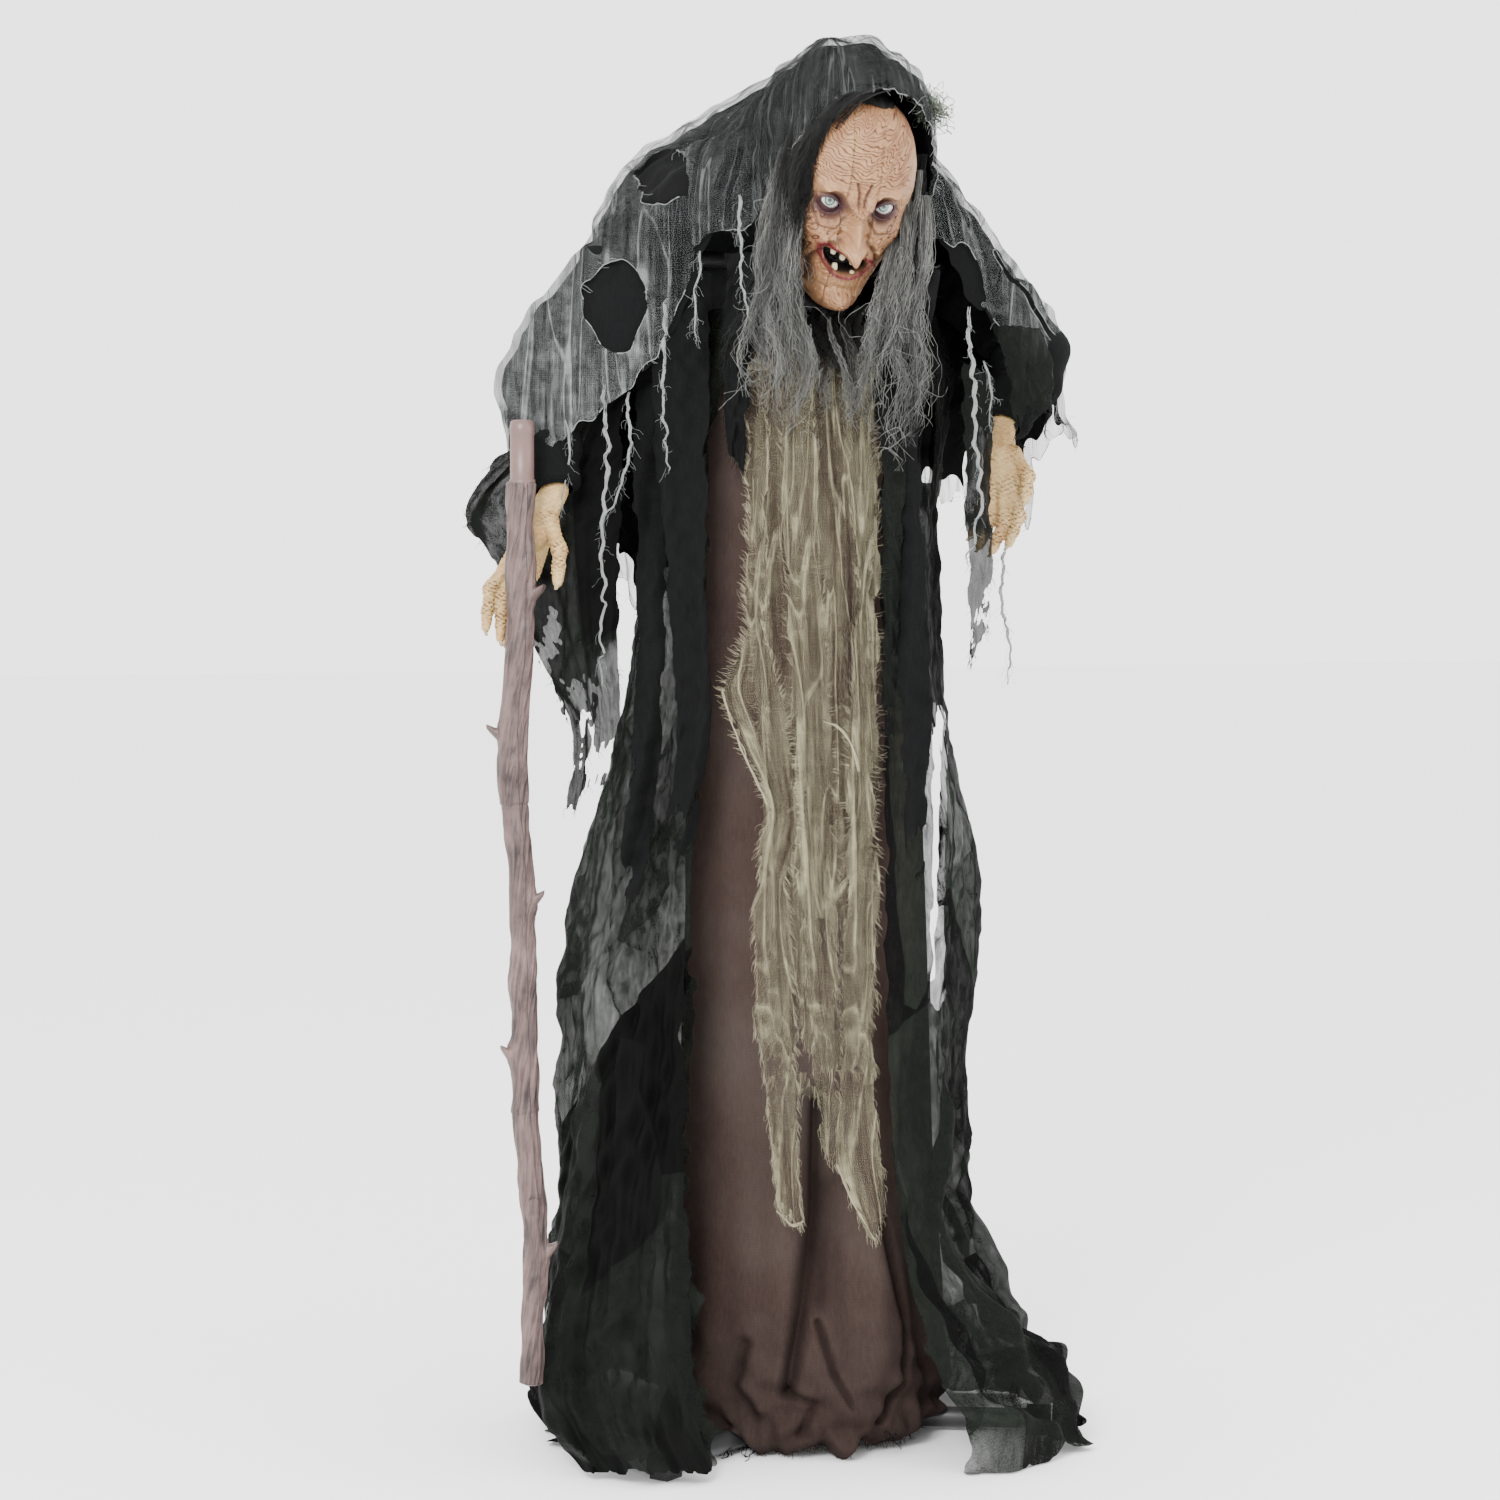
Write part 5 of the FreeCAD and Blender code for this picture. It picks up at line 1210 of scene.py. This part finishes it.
def turned_end(name, aside, levels, radii):
    """A short turned piece in line with the cane."""
    levels = np.asarray(levels)
    line = stacked(CANE_X, CANE_Y, levels) + SIDEWAYS * aside
    rings, _, angles = around_line(line, np.broadcast_to(radii, (64, len(levels))), 64, (1, 0, 0))
    return sheet_mesh(name, rings, stacked(angles * 0.014, levels[None]), PLUG, closed=True, soften=0)[0]


plug = turned_end("cane_plug", 0.0015,
                  [1.176, 1.186, 1.187, 1.2385, 1.2395, 1.2465, 1.2545, 1.2562, 1.2564],
                  [0.0150, 0.0154, 0.0141, 0.0141, 0.0146, 0.0146, 0.0132, 0.0100, 0.0])
cane_end = turned_end("cane_end", 0.0108, [0.1135, 0.1120, 0.1118], [0.0120, 0.0100, 0.0])

# ------------------------------------------------------------------ face


def profile(height, table, spread=5.0):
    """A table's values over height, with its corners rounded."""
    table = np.asarray(table, float)[::-1]
    return sum(np.interp(height + h * spread / 2, table[:, 0], table[:, 1]) for h in (-2, -1, 0, 1, 2)) / 5


EYE_AT = np.array([33.0, -67.0, 14.0])
EYE_RADIUS = 13.6
turn, z = np.meshgrid(np.radians(np.linspace(-106, 106, 300)), np.linspace(127, -130, 400), indexing="ij")
front = profile(z, [(129, 4), (122, 34), (112, 58), (92, 79), (60, 93), (35, 96), (12, 88), (-20, 86),
                    (-50, 88), (-66, 87), (-82, 84), (-95, 80), (-108, 80), (-118, 74), (-126, 50),
                    (-132, 20)])
half = profile(z, [(129, 14), (120, 42), (106, 59), (86, 71), (60, 79), (30, 81), (0, 78), (-16, 77),
                   (-40, 68), (-66, 58), (-90, 46), (-110, 33), (-122, 23), (-132, 10)])
x = half * np.sin(turn)
y = -np.where(np.cos(turn) > 0, front, 50) * np.cos(turn)
side = np.hypot(x, 3.0)
facing = smooth(np.cos(turn), 0.05, 0.45)


def mound(across, up, wide, high):
    """A pair of soft mounds, one on each side of the face."""
    return bell(np.hypot((side - across) / wide, (z - up) / high), 0, 1) * facing


def groove(line, width):
    """Distance from a line on each side of the face, and a soft groove along it."""
    far = near_line(side, z, line)
    return far, bell(far, 0, width) * facing


out = 12.0 * bell(z - (14 + 0.56 * (side - 12)), 0, 6.5) * smooth(-side, -60, -42) * facing
out += 7.0 * mound(13, 20, 8, 9) - 12.0 * mound(EYE_AT[0], 13, 18, 13) + 4.5 * mound(31, -10, 16, 6)
out += 9.0 * mound(50, -17, 16, 14) - 9.0 * mound(46, -62, 14, 24) - 4.0 * mound(60, 20, 12, 26)
bridge = profile(z, [(34, 0), (22, 3), (12, 10), (2, 18), (-8, 26), (-18, 33), (-27, 38), (-35, 40),
                     (-42, 34), (-48, 13), (-53, 0)], 3)
wide = profile(z, [(34, 8), (12, 7), (2, 8.8), (-8, 8.0), (-18, 8.6), (-28, 10.6), (-36, 11.4),
                   (-52, 10)], 3)
nose = bridge * bell(x, 0, wide)
wing_far = np.hypot((side - 14.5) / 7.5, (z + 33) / 8.0)
wing = bell(wing_far, 0, 1)
out += nose + 15 * wing - 3.0 * bell(wing_far, 1.7, 0.25) * smooth(z, -46, -32)
nostril = bell(np.hypot((side - 8.0) / 3.8, (z + 43) / 3.2), 0, 1)
out -= 9 * nostril
fold_far, fold = groove([(17, -26), (31, -40), (42, -64), (38, -92)], 2.8)
out += 5.0 * bell(fold_far - 7, 0, 6) * facing * (side > 20) - 4.0 * fold
_, frown = groove([(4.5, 18), (5.5, 32), (9.0, 44)], 1.5)
_, under_eye = groove([(14, 0), (26, -16), (44, -14), (52, 2)], 1.6)
out -= 3.6 * frown + 2.4 * under_eye
mouth_x = (x + 3) / 29
mouth_z = -57 + 8 * mouth_x ** 2 - 5.0 * mouth_x
ring = np.hypot(mouth_x, (z - mouth_z) / (12.5 - 2.5 * mouth_x))
gape = smooth(-ring, -1.0, -0.72) * (np.cos(turn) > 0)
out += 4.5 * bell(ring, 1.17, 0.13) * facing + 3.0 * bell(ring, 1.5, 0.25) * (z > mouth_z) - 34 * gape
out += 16 * bell(np.hypot(x / 19, (z + 108) / 12), 0, 1) - 5.0 * bell(np.hypot(x / 26, (z + 90) / 5), 0, 1)
# wrinkles: each is a wave across its own field of distances
flat = stacked(x, z)
eye_far = np.hypot(side - EYE_AT[0], z - 13)
wander = ripple(flat, 24, 151, 9)
fields = [
    (np.hypot(x * 0.80, z - 134) + 4.0 * wander, 8.6, 2.3, smooth(z, 36, 46) * smooth(-side, -68, -54)),
    (np.hypot(side - EYE_AT[0], (z - 13) * 1.15) + 1.6 * wander, 5.6, 1.2,
     smooth(eye_far, 17, 21) * smooth(-eye_far, -36, -28) * smooth(-z, -30, -16)),
    (fold_far + 2.0 * wander, 7.0, 1.6, smooth(fold_far, 5, 9) * smooth(-fold_far, -27, -18)
     * smooth(side, 24, 32) * (z < 0)),
    (np.arctan2(z - mouth_z, (x + 3) * 1.1) * 13 + 1.2 * wander, 4.2, 1.0,
     smooth(ring, 1.22, 1.35) * smooth(-ring, -2.0, -1.5) * smooth(-np.abs(mouth_x), -1.3, -0.9)),
    (z + 0.2 * side + 0.8 * wander, 4.6, 0.9, bell(x, 0, 9) * smooth(z, 0, 6) * smooth(-z, -26, -18)),
    (np.hypot(x, z + 98) + 2.4 * wander, 6.4, 1.2, bell(np.hypot(x / 30, (z + 106) / 20), 0, 1)),
    (z + 0.9 * side + 2.6 * wander, 7.2, 1.5, smooth(side, 44, 54) * smooth(-z, -12, 0)),
]
crease = 0.9 * frown + 0.8 * fold + 0.6 * under_eye
for distance, period, depth, mask in fields:
    phase = np.sin(2 * math.pi * distance / period)
    sharp = 1 - 2 * np.clip(np.abs(phase), 0, 1) ** 0.65
    out -= depth * np.clip(sharp, -0.4, 1) * mask * facing
    crease = np.maximum(crease, np.clip(1.5 * sharp, 0, 1) * mask)
out += 0.55 * ripple(flat, 9, 152, 10) + 0.30 * ripple(flat, 4.2, 153, 10)
y = y - out * np.where(facing > 0, 0.25 + 0.75 * facing, 0.25)
droop = nose / 39
points = np.stack([x * (1 - 0.10 * droop), y, z - 11 * droop ** 2 * smooth(-z, 10, 40)
                   - 3.5 * bell(ring, 1.15, 0.2) * (z < -66)], -1)
# lids that close round the eyeballs
open_eye = np.zeros(x.shape, bool)
for way in (-1, 1):
    dx, dz = points[..., 0] - way * EYE_AT[0], points[..., 2] - EYE_AT[2]
    flat_far = np.hypot(dx, dz)
    lid = EYE_AT[1] - np.sqrt(np.maximum((EYE_RADIUS + 1.5) ** 2 - flat_far ** 2, 4.0))
    weight = smooth(-flat_far, -19.5, -11.0)
    points[..., 1] = points[..., 1] * (1 - weight) + lid * weight
    inner = dx * way  # negative towards the nose
    upper = 5.8 * (1 - (dx / 11.8) ** 2) + 0.34 * inner - 0.6
    lower = -5.6 * (1 - (dx / 11.8) ** 2) + 0.10 * inner
    open_eye |= (dz < upper) & (dz > lower) & (np.abs(dx) < 11.6)
    edge = np.minimum(np.abs(dz - upper), np.abs(dz - lower))
    points[..., 1] -= 1.0 * bell(edge, 0, 1.6) * (flat_far < 15)
    points[..., 1] -= 2.2 * bell(dz - upper - 4.0, 0, 2.2) * (flat_far < 20)
face = sheet_mesh("face_skin", head_point(points / 1000), flat / 1000, FACE_SKIN, ~open_eye, soften=1)
from_grid = face[3]
far_eye = np.minimum(*[np.hypot((x - way * EYE_AT[0]) / 1.25, z - 11) for way in (-1, 1)])
# painted shade: crease darkens the grooves and wrinkles, socket the eye sockets, dark the inside of the
# mouth and the nostrils; lip is the lips' own red
paint(face[0], "crease", np.clip(crease, 0, 1).reshape(-1)[from_grid])
paint(face[0], "socket", (smooth(-far_eye, -22, -10) * 0.95).reshape(-1)[from_grid])
paint(face[0], "lip", (np.clip(bell(ring, 1.13, 0.16) * 1.2, 0, 1)).reshape(-1)[from_grid])
paint(face[0], "dark", np.maximum(smooth(-ring, -1.02, -0.86), nostril * 0.9).reshape(-1)[from_grid])

# ------------------------------------------------------------------ eyes and teeth


def ball(name, centre, radii, material, turn=None, power=2.0, rings=28):
    """A closed rounded solid. A higher power is boxier."""
    a, b = np.meshgrid(np.linspace(0, 2 * math.pi, 2 * rings, endpoint=False),
                       np.linspace(0, math.pi, rings), indexing="ij")
    shape = np.stack([np.sin(b) * np.cos(a), np.sin(b) * np.sin(a), np.cos(b)], -1)
    shape /= (np.abs(shape) ** power).sum(-1, keepdims=True) ** (1 / power)
    points = shape * np.asarray(radii)
    if turn is not None:
        points = points @ np.asarray(turn).T
    points = points + np.asarray(centre)
    return sheet_mesh(name, points, np.stack([a, b], -1) * 0.01, material, closed=True, soften=0)


camera_eye = FORWARD * CAMERA_AWAY + UP * CAMERA_UP
eyes = {}
for name, way in SIDE.items():
    centre = head_point(EYE_AT * [way, 1, 1] / 1000)
    gaze = unit(unit(camera_eye - centre) * 0.75 + HEAD_TURN @ np.array([0.04 * way, -1, 0.05]) * 0.5)
    first = unit(np.cross(gaze, UP))
    axes = np.stack([first, np.cross(first, gaze), gaze], 1)
    made, points, *_ = ball(f"{name}_eye_ball", centre, [EYE_RADIUS / 1000] * 3, EYE, axes, rings=56)
    angle = np.arccos(np.clip(((points - centre) @ gaze) / (EYE_RADIUS / 1000), -1, 1))
    paint(made, "iris", angle / 0.47)
    push_out(made, 0.0011 * smooth(-angle, -0.46, -0.30))
    eyes[name] = made

teeth = []
for k, (x, z, wide, high, tip) in enumerate(((-18, -44, 3.4, 5.4, 8), (-6, -49, 3.9, 5.6, -6),
                                             (6, -52, 3.6, 6.6, 4), (15, -53, 3.0, 4.6, -10),
                                             (-13, -64, 3.5, 5.0, 6), (9, -70, 3.1, 4.2, -4))):
    lean = math.radians(tip)
    turn = HEAD_TURN @ np.array([[math.cos(lean), 0, -math.sin(lean)], [0, 1, 0],
                                 [math.sin(lean), 0, math.cos(lean)]])
    made = ball(f"tooth_{k + 1}", head_point(np.array([x, -81.0 + abs(x) * 0.25, z]) / 1000),
                np.array([wide, 3.2, high]) / 1000, TOOTH, turn, 2.8, 20)[0]
    push_out(made, 0.0002 * ripple(mesh_points(made), 0.004, 160 + k, 6))
    teeth.append(made)

# ------------------------------------------------------------------ hair

# Each lock is a row of (across, out, up) places, its half width at the start and at the widest,
# how many hairs it holds and their material.
LOCKS = [
    ([(0.008, 0.185, 1.625), (-0.022, 0.195, 1.560), (-0.036, 0.205, 1.470), (-0.044, 0.205, 1.370),
      (-0.050, 0.200, 1.255)], 0.012, 0.026, 260, GREY_HAIR),
    ([(0.000, 0.180, 1.612), (-0.036, 0.185, 1.540), (-0.052, 0.195, 1.440), (-0.062, 0.200, 1.340),
      (-0.070, 0.195, 1.272)], 0.012, 0.022, 200, GREY_HAIR),
    ([(-0.006, 0.190, 1.540), (-0.022, 0.205, 1.470), (-0.020, 0.215, 1.390), (-0.012, 0.205, 1.320),
      (-0.020, 0.200, 1.240)], 0.010, 0.022, 200, GREY_HAIR),
    ([(-0.022, 0.180, 1.450), (-0.014, 0.195, 1.400), (-0.004, 0.205, 1.350), (0.004, 0.200, 1.300),
      (-0.002, 0.198, 1.225)], 0.008, 0.020, 100, GREY_HAIR),
    ([(0.130, 0.140, 1.560), (0.118, 0.160, 1.490), (0.108, 0.190, 1.420), (0.096, 0.205, 1.340),
      (0.086, 0.200, 1.248)], 0.006, 0.014, 160, GREY_HAIR),
    ([(0.136, 0.140, 1.530), (0.134, 0.160, 1.450), (0.124, 0.185, 1.380), (0.128, 0.195, 1.310),
      (0.118, 0.195, 1.215)], 0.006, 0.013, 150, GREY_HAIR),
    ([(0.106, 0.160, 1.480), (0.092, 0.190, 1.420), (0.076, 0.205, 1.370), (0.066, 0.205, 1.300),
      (0.058, 0.200, 1.240)], 0.006, 0.014, 110, GREY_HAIR),
    ([(0.120, 0.160, 1.520), (0.112, 0.185, 1.450), (0.102, 0.200, 1.360), (0.112, 0.205, 1.290),
      (0.104, 0.200, 1.185)], 0.004, 0.008, 70, GREY_HAIR),
    ([(0.078, 0.210, 1.648), (0.040, 0.238, 1.630), (0.008, 0.238, 1.592), (-0.010, 0.222, 1.540),
      (-0.020, 0.208, 1.480), (-0.022, 0.205, 1.420)], 0.011, 0.013, 420, DARK_HAIR),
    ([(0.030, 0.205, 1.640), (-0.006, 0.216, 1.602), (-0.022, 0.208, 1.550), (-0.024, 0.195, 1.480),
      (-0.010, 0.190, 1.400)], 0.011, 0.014, 320, DARK_HAIR),
    ([(-0.008, 0.170, 1.560), (-0.030, 0.175, 1.470), (-0.060, 0.185, 1.400), (-0.082, 0.185, 1.350),
      (-0.070, 0.190, 1.300)], 0.016, 0.022, 220, DARK_HAIR),
    ([(0.132, 0.130, 1.580), (0.124, 0.140, 1.500), (0.108, 0.160, 1.430), (0.096, 0.180, 1.360),
      (0.100, 0.185, 1.290)], 0.010, 0.022, 320, DARK_HAIR),
    ([(0.040, 0.120, 1.385), (0.040, 0.150, 1.360), (0.044, 0.175, 1.325), (0.040, 0.190, 1.280),
      (0.036, 0.190, 1.235)], 0.030, 0.040, 110, GREY_HAIR),
    # a dark lock right under the chin: dark hair put there as painted shade under the chin
    ([(0.030, 0.100, 1.400), (0.020, 0.125, 1.375), (0.030, 0.160, 1.340), (0.040, 0.180, 1.300)], 0.040,
     0.050, 480, DARK_HAIR),
]
HAIR_POINTS, CLUMP = 28, 16
rng = np.random.default_rng(170)
hair_lines = {GREY_HAIR.name: [], DARK_HAIR.name: []}
tints = {GREY_HAIR.name: [], DARK_HAIR.name: []}


def add_hair(material_name, line, tint):
    """Keeps one hair for the mesh of its colour."""
    hair_lines[material_name].append(line)
    tints[material_name].append(tint)


for corners, narrow, broad, number, material in LOCKS:
    middle = flow(corners, HAIR_POINTS)
    t = np.linspace(0, 1, HAIR_POINTS)[:, None]
    share = np.linalg.norm(np.diff(middle, axis=0), axis=1).sum() / 0.37
    for _ in range(max(3, number // CLUMP)):
        seat = rng.normal(0, 1, 2) * [0.62, 0.42]
        bunch = rng.normal(0, 1, 2) * [0.5, 0.35]
        phase, turns = rng.uniform(0, 6.3), rng.uniform(1.4, 3.8)
        light, curl = rng.uniform(0.10, 1.0), rng.uniform(0.3, 1.6)
        longest = int(rng.integers(18, HAIR_POINTS + 1))
        for _ in range(CLUMP):
            apart = rng.normal(0, 0.0030, 2) * (0.5 + t)
            spot = seat * narrow * (1 - t) + (seat * (1 - t) + bunch * t) * broad * t + apart
            wave = np.sin(t * share * turns * 6.3 + phase) * (0.0018 + 0.0085 * t) * share * curl
            wave += rng.normal(0, 0.0010) * t
            frizz = ripple(np.concatenate([t * 0.4, t * 0 + rng.uniform(0, 9)], 1), 0.030,
                           int(rng.integers(1e6)), 4)[:, None]
            stop = int(rng.integers(longest - 6, longest))
            hair = (middle + SIDEWAYS * (spot[:, :1] + wave) + FORWARD * (spot[:, 1:] + wave * 0.4)
                    + SIDEWAYS * frizz * 0.0065 * t)
            add_hair(material.name, hair[:stop], min(1, max(0, light + rng.normal(0, 0.12))))
# stray hairs
for _ in range(130):
    corners = LOCKS[rng.integers(0, 8)][0]
    start = flow(corners, 12)[rng.integers(2, 11)]
    end = start + rng.normal(0, 1, 3) * [0.022, 0.016, 0.022] - UP * 0.024
    drift = rng.normal(0, 0.008, 3)
    add_hair(GREY_HAIR.name, strand(start, end, drift, int(rng.integers(1e6)), 14, 0.003, 0.03), 0.8)
hair = {}
for name, material in (("grey_hair", GREY_HAIR), ("dark_hair", DARK_HAIR)):
    lines = hair_lines[material.name]
    hair[name] = tubes(name, lines, [np.linspace(0.00042, 0.00022, len(line)) for line in lines], material)
    paint(hair[name], "tint",
          np.concatenate([np.full(len(line) * 3, tint) for line, tint in zip(lines, tints[material.name])]))
# the wig's cap, from its back pole to its edge round the face
scalp_ring, scalp_out = np.meshgrid(np.linspace(0, 2 * math.pi, 120, endpoint=False),
                                    np.radians(np.linspace(2, 113, 60)),
                                    indexing="ij")
scalp = np.stack([np.sin(scalp_out) * np.cos(scalp_ring) * 84, 6 + np.cos(scalp_out) * 102,
                  8 + np.sin(scalp_out) * np.sin(scalp_ring) * 128], -1)
scalp *= (1 + 0.015 * ripple(scalp * [1, 0.3, 1], 9, 171, 9))[..., None]
scalp_cap = sheet_mesh("wig_cap", head_point(scalp / 1000), scalp[..., ::2] / 1000, DARK_HAIR,
                       closed=True)[0]
paint(scalp_cap, "tint", np.full(len(scalp_cap.data.vertices), 0.5))

# ------------------------------------------------------------------ frayed strands and the tuft at the hood

STRANDS = {
    "right_arm": [([(-0.244, 0.190, 1.300), (-0.240, 0.195, 1.215), (-0.246, 0.200, 1.100),
                    (-0.241, 0.200, 1.045), (-0.248, 0.200, 0.996), (-0.246, 0.200, 0.942)], 0.0022),
                  ([(-0.216, 0.190, 1.290), (-0.210, 0.195, 1.235), (-0.226, 0.200, 1.170),
                    (-0.242, 0.200, 1.135)], 0.0018),
                  ([(-0.290, 0.195, 1.260), (-0.285, 0.200, 1.215), (-0.292, 0.200, 1.150)], 0.0012)],
    "torso": [([(-0.168, 0.190, 1.405), (-0.172, 0.198, 1.290), (-0.168, 0.200, 1.195)], 0.0020),
              ([(-0.084, 0.215, 1.520), (-0.080, 0.222, 1.452), (-0.070, 0.222, 1.372)], 0.0018),
              ([(-0.128, 0.200, 1.460), (-0.134, 0.205, 1.400), (-0.130, 0.205, 1.352)], 0.0013)],
    "left_arm": [([(0.190, 0.180, 1.390), (0.196, 0.190, 1.300), (0.198, 0.196, 1.240),
                   (0.206, 0.196, 1.160), (0.188, 0.196, 1.085)], 0.0024),
                 ([(0.236, 0.150, 1.115), (0.234, 0.152, 1.045), (0.243, 0.152, 0.990),
                   (0.242, 0.150, 0.944)], 0.0019),
                 ([(0.214, 0.176, 1.330), (0.220, 0.180, 1.290), (0.216, 0.180, 1.250)], 0.0012)],
}
strand_pieces = {}
for body_name, rows in STRANDS.items():
    lines, radii = [], []
    for k, (corners, thick) in enumerate(rows):
        middle = flow(corners, 70)
        t = np.linspace(0, 1, 70)
        slack = np.stack([ripple(middle, 0.026, 180 + 7 * k + j, 6) for j in range(3)], -1) * 0.0026
        lumps = 1 + 0.35 * ripple(middle, 0.014, 190 + k, 6)
        for ply in range(3):
            spin = t * 60 + ply * 2.094
            twist = (np.cos(spin)[:, None] * SIDEWAYS + np.sin(spin)[:, None] * FORWARD) * thick * 0.7
            lines.append(middle + slack + twist * np.linspace(1, 0.5, 70)[:, None])
            radii.append(thick * lumps * np.interp(t, [0, 0.08, 0.3, 0.8, 1],
                                                   [0.15, 0.55, 0.65, 0.42, 0.12]))
        for _ in range(40):
            start = (middle + slack)[rng.integers(2, 69)]
            end = start + rng.normal(0, 1, 3) * [0.006, 0.004, 0.005] - UP * 0.010
            drift = rng.normal(0, 0.002, 3)
            lines.append(strand(start, end, drift, int(rng.integers(1e6)), 6, 0.001, 0.01))
            radii.append(np.full(6, 0.00014))
    strand_pieces[body_name] = tubes(f"gauze_strands_{body_name}", lines, radii, GREY_THREAD, 5)
tuft_lines = []
for _ in range(150):
    start = seen(0.146, 0.125, 1.634) + rng.normal(0, 0.006, 3)
    end = start + unit(rng.normal(0, 1, 3) + SIDEWAYS * 0.9) * rng.uniform(0.008, 0.026)
    tuft_lines.append(strand(start, end, rng.normal(0, 0.007, 3), int(rng.integers(1e6)), 9, 0.004, 0.012))
tuft = tubes("hood_tuft", tuft_lines, [0.00045] * len(tuft_lines), TUFT_THREAD)

# ------------------------------------------------------------------ hump

low_corner, high_corner = (np.array(corner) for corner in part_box("hump_pad"))
hump_middle, hump_half = (low_corner + high_corner) / 2, (high_corner - low_corner) / 2
pad, *_ = ball("hump_foam", hump_middle, hump_half * 0.985, FOAM, power=2.3, rings=60)
push_out(pad, -0.0025 * (1 + ripple(mesh_points(pad), 0.05, 190, 9)))

# ------------------------------------------------------------------ what moves with what

for made in (face[0], *eyes.values(), *teeth, scalp_cap, tuft):
    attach(made, "head")
for made in hair.values():
    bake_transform(made)
for name, made in sleeves.items():
    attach(made, f"{name}_arm")
for name, (hand, nails) in hands.items():
    for made in (hand, *nails):
        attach(made, f"{name}_arm")
for made in (cane, plug, cane_end):
    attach(made, "right_arm")
for body_name, made in strand_pieces.items():
    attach(made, body_name)
for made in (*(layer[0] for layer in apron_layers.values()), *apron_fringe, rolled_edges, pad):
    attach(made, "torso")
for made, threads, body_name in strips.values():
    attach(made[0], body_name)
    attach(threads, body_name)
for made in (dress[0], dress_threads, hem_tangles, robe[0], heap[0]):
    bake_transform(made)

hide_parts("head_shell")
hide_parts("right_eye")
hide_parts("left_eye")
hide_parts("mouth_insert")
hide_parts("wig")
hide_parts("dress")
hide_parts("robe")
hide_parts("gauze_apron")
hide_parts("hump_pad")
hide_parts("cane_top", "cane_middle", "cane_bottom")
for name in SIDE:
    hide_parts(f"{name}_sleeve")
    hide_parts(f"{name}_hand")
    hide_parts(f"{name}_sleeve_drape")


def cloth_area(made):
    """A mesh's area, in square metres."""
    areas = np.empty(len(made.data.polygons))
    made.data.polygons.foreach_get("area", areas)
    return float(areas.sum())


def declare(made, length):
    """Works out the width of a sheet of that cut length from its area, with a little slack for torn edges;
    the width is not kept.
    """
    cloth_area(made) * 1.05 / length


declare(gauze_pieces["back"], 1.10)
declare(gauze_pieces["right"], 0.50)
declare(gauze_pieces["left"], 0.45)
declare(lining_pieces["back"], 1.05)
declare(lining_pieces["right"], 0.47)
declare(lining_pieces["left"], 0.42)
declare(dress[0], 1.38)
declare(robe[0], 1.45)
declare(heap[0], 0.58)
for name, fringe_piece in zip(apron_layers, apron_fringe):
    made = apron_layers[name]
    declare(made[0], float(np.ptp(made[1][:, 2])) * 1.04)
for made, threads, _ in strips.values():
    declare(made[0], float(np.ptp(made[1][:, 2])) * 1.04)
for name, made in sleeves.items():
    declare(made, 0.42)

NODE_SLOT = {part["node"]: part["material_slot"] for part in frame["record"]["subparts"]}
for node_name, made in frame["nodes"].items():
    if not made.hide_render:
        for place in made.material_slots:
            place.material = NODE_FINISH[NODE_SLOT[node_name]]


# ------------------------------------------------------------------ camera, floor and light

scene = bpy.context.scene
camera = bpy.data.objects.new("camera", bpy.data.cameras.new("camera"))
scene.collection.objects.link(camera)
camera.data.lens = CAMERA_LENS
camera.data.sensor_width = CAMERA_SENSOR
eye = FORWARD * CAMERA_AWAY + SIDEWAYS * CAMERA_ASIDE + UP * CAMERA_UP
aim = SIDEWAYS * CAMERA_ASIDE + UP * CAMERA_AIM
camera.location = Vector(eye)
camera.rotation_euler = Vector(aim - eye).to_track_quat("-Z", "Y").to_euler()
scene.camera = camera

floor_mesh = bpy.data.meshes.new("floor")
floor_mesh.from_pydata([(-40, -40, 0), (40, -40, 0), (40, 40, 0), (-40, 40, 0)], [], [(0, 1, 2, 3)])
floor = bpy.data.objects.new("floor", floor_mesh)
scene.collection.objects.link(floor)
floor_mesh.materials.append(plain("floor_paint", (0.93, 0.93, 0.93), 0.9, spread=0.01, depth=0.0))

world = bpy.data.worlds.new("studio")
world.use_nodes = True
world.node_tree.nodes["Background"].inputs["Color"].default_value = (1, 1, 1, 1)
world.node_tree.nodes["Background"].inputs["Strength"].default_value = 3.0
scene.world = world


def softbox(name, place, target, size, power):
    """A square area light that faces a target."""
    light = bpy.data.objects.new(name, bpy.data.lights.new(name, "AREA"))
    light.data.shape = "SQUARE"
    light.data.size = size
    light.data.energy = power
    light.location = place
    light.rotation_euler = (Vector(target) - Vector(place)).to_track_quat("-Z", "Y").to_euler()
    scene.collection.objects.link(light)


softbox("key_light", (-3.0, -3.2, 3.2), (0, 0, 1.1), 1.4, 330)
softbox("fill_light", (2.6, -3.0, 1.8), (0, 0, 0.9), 2.2, 60)
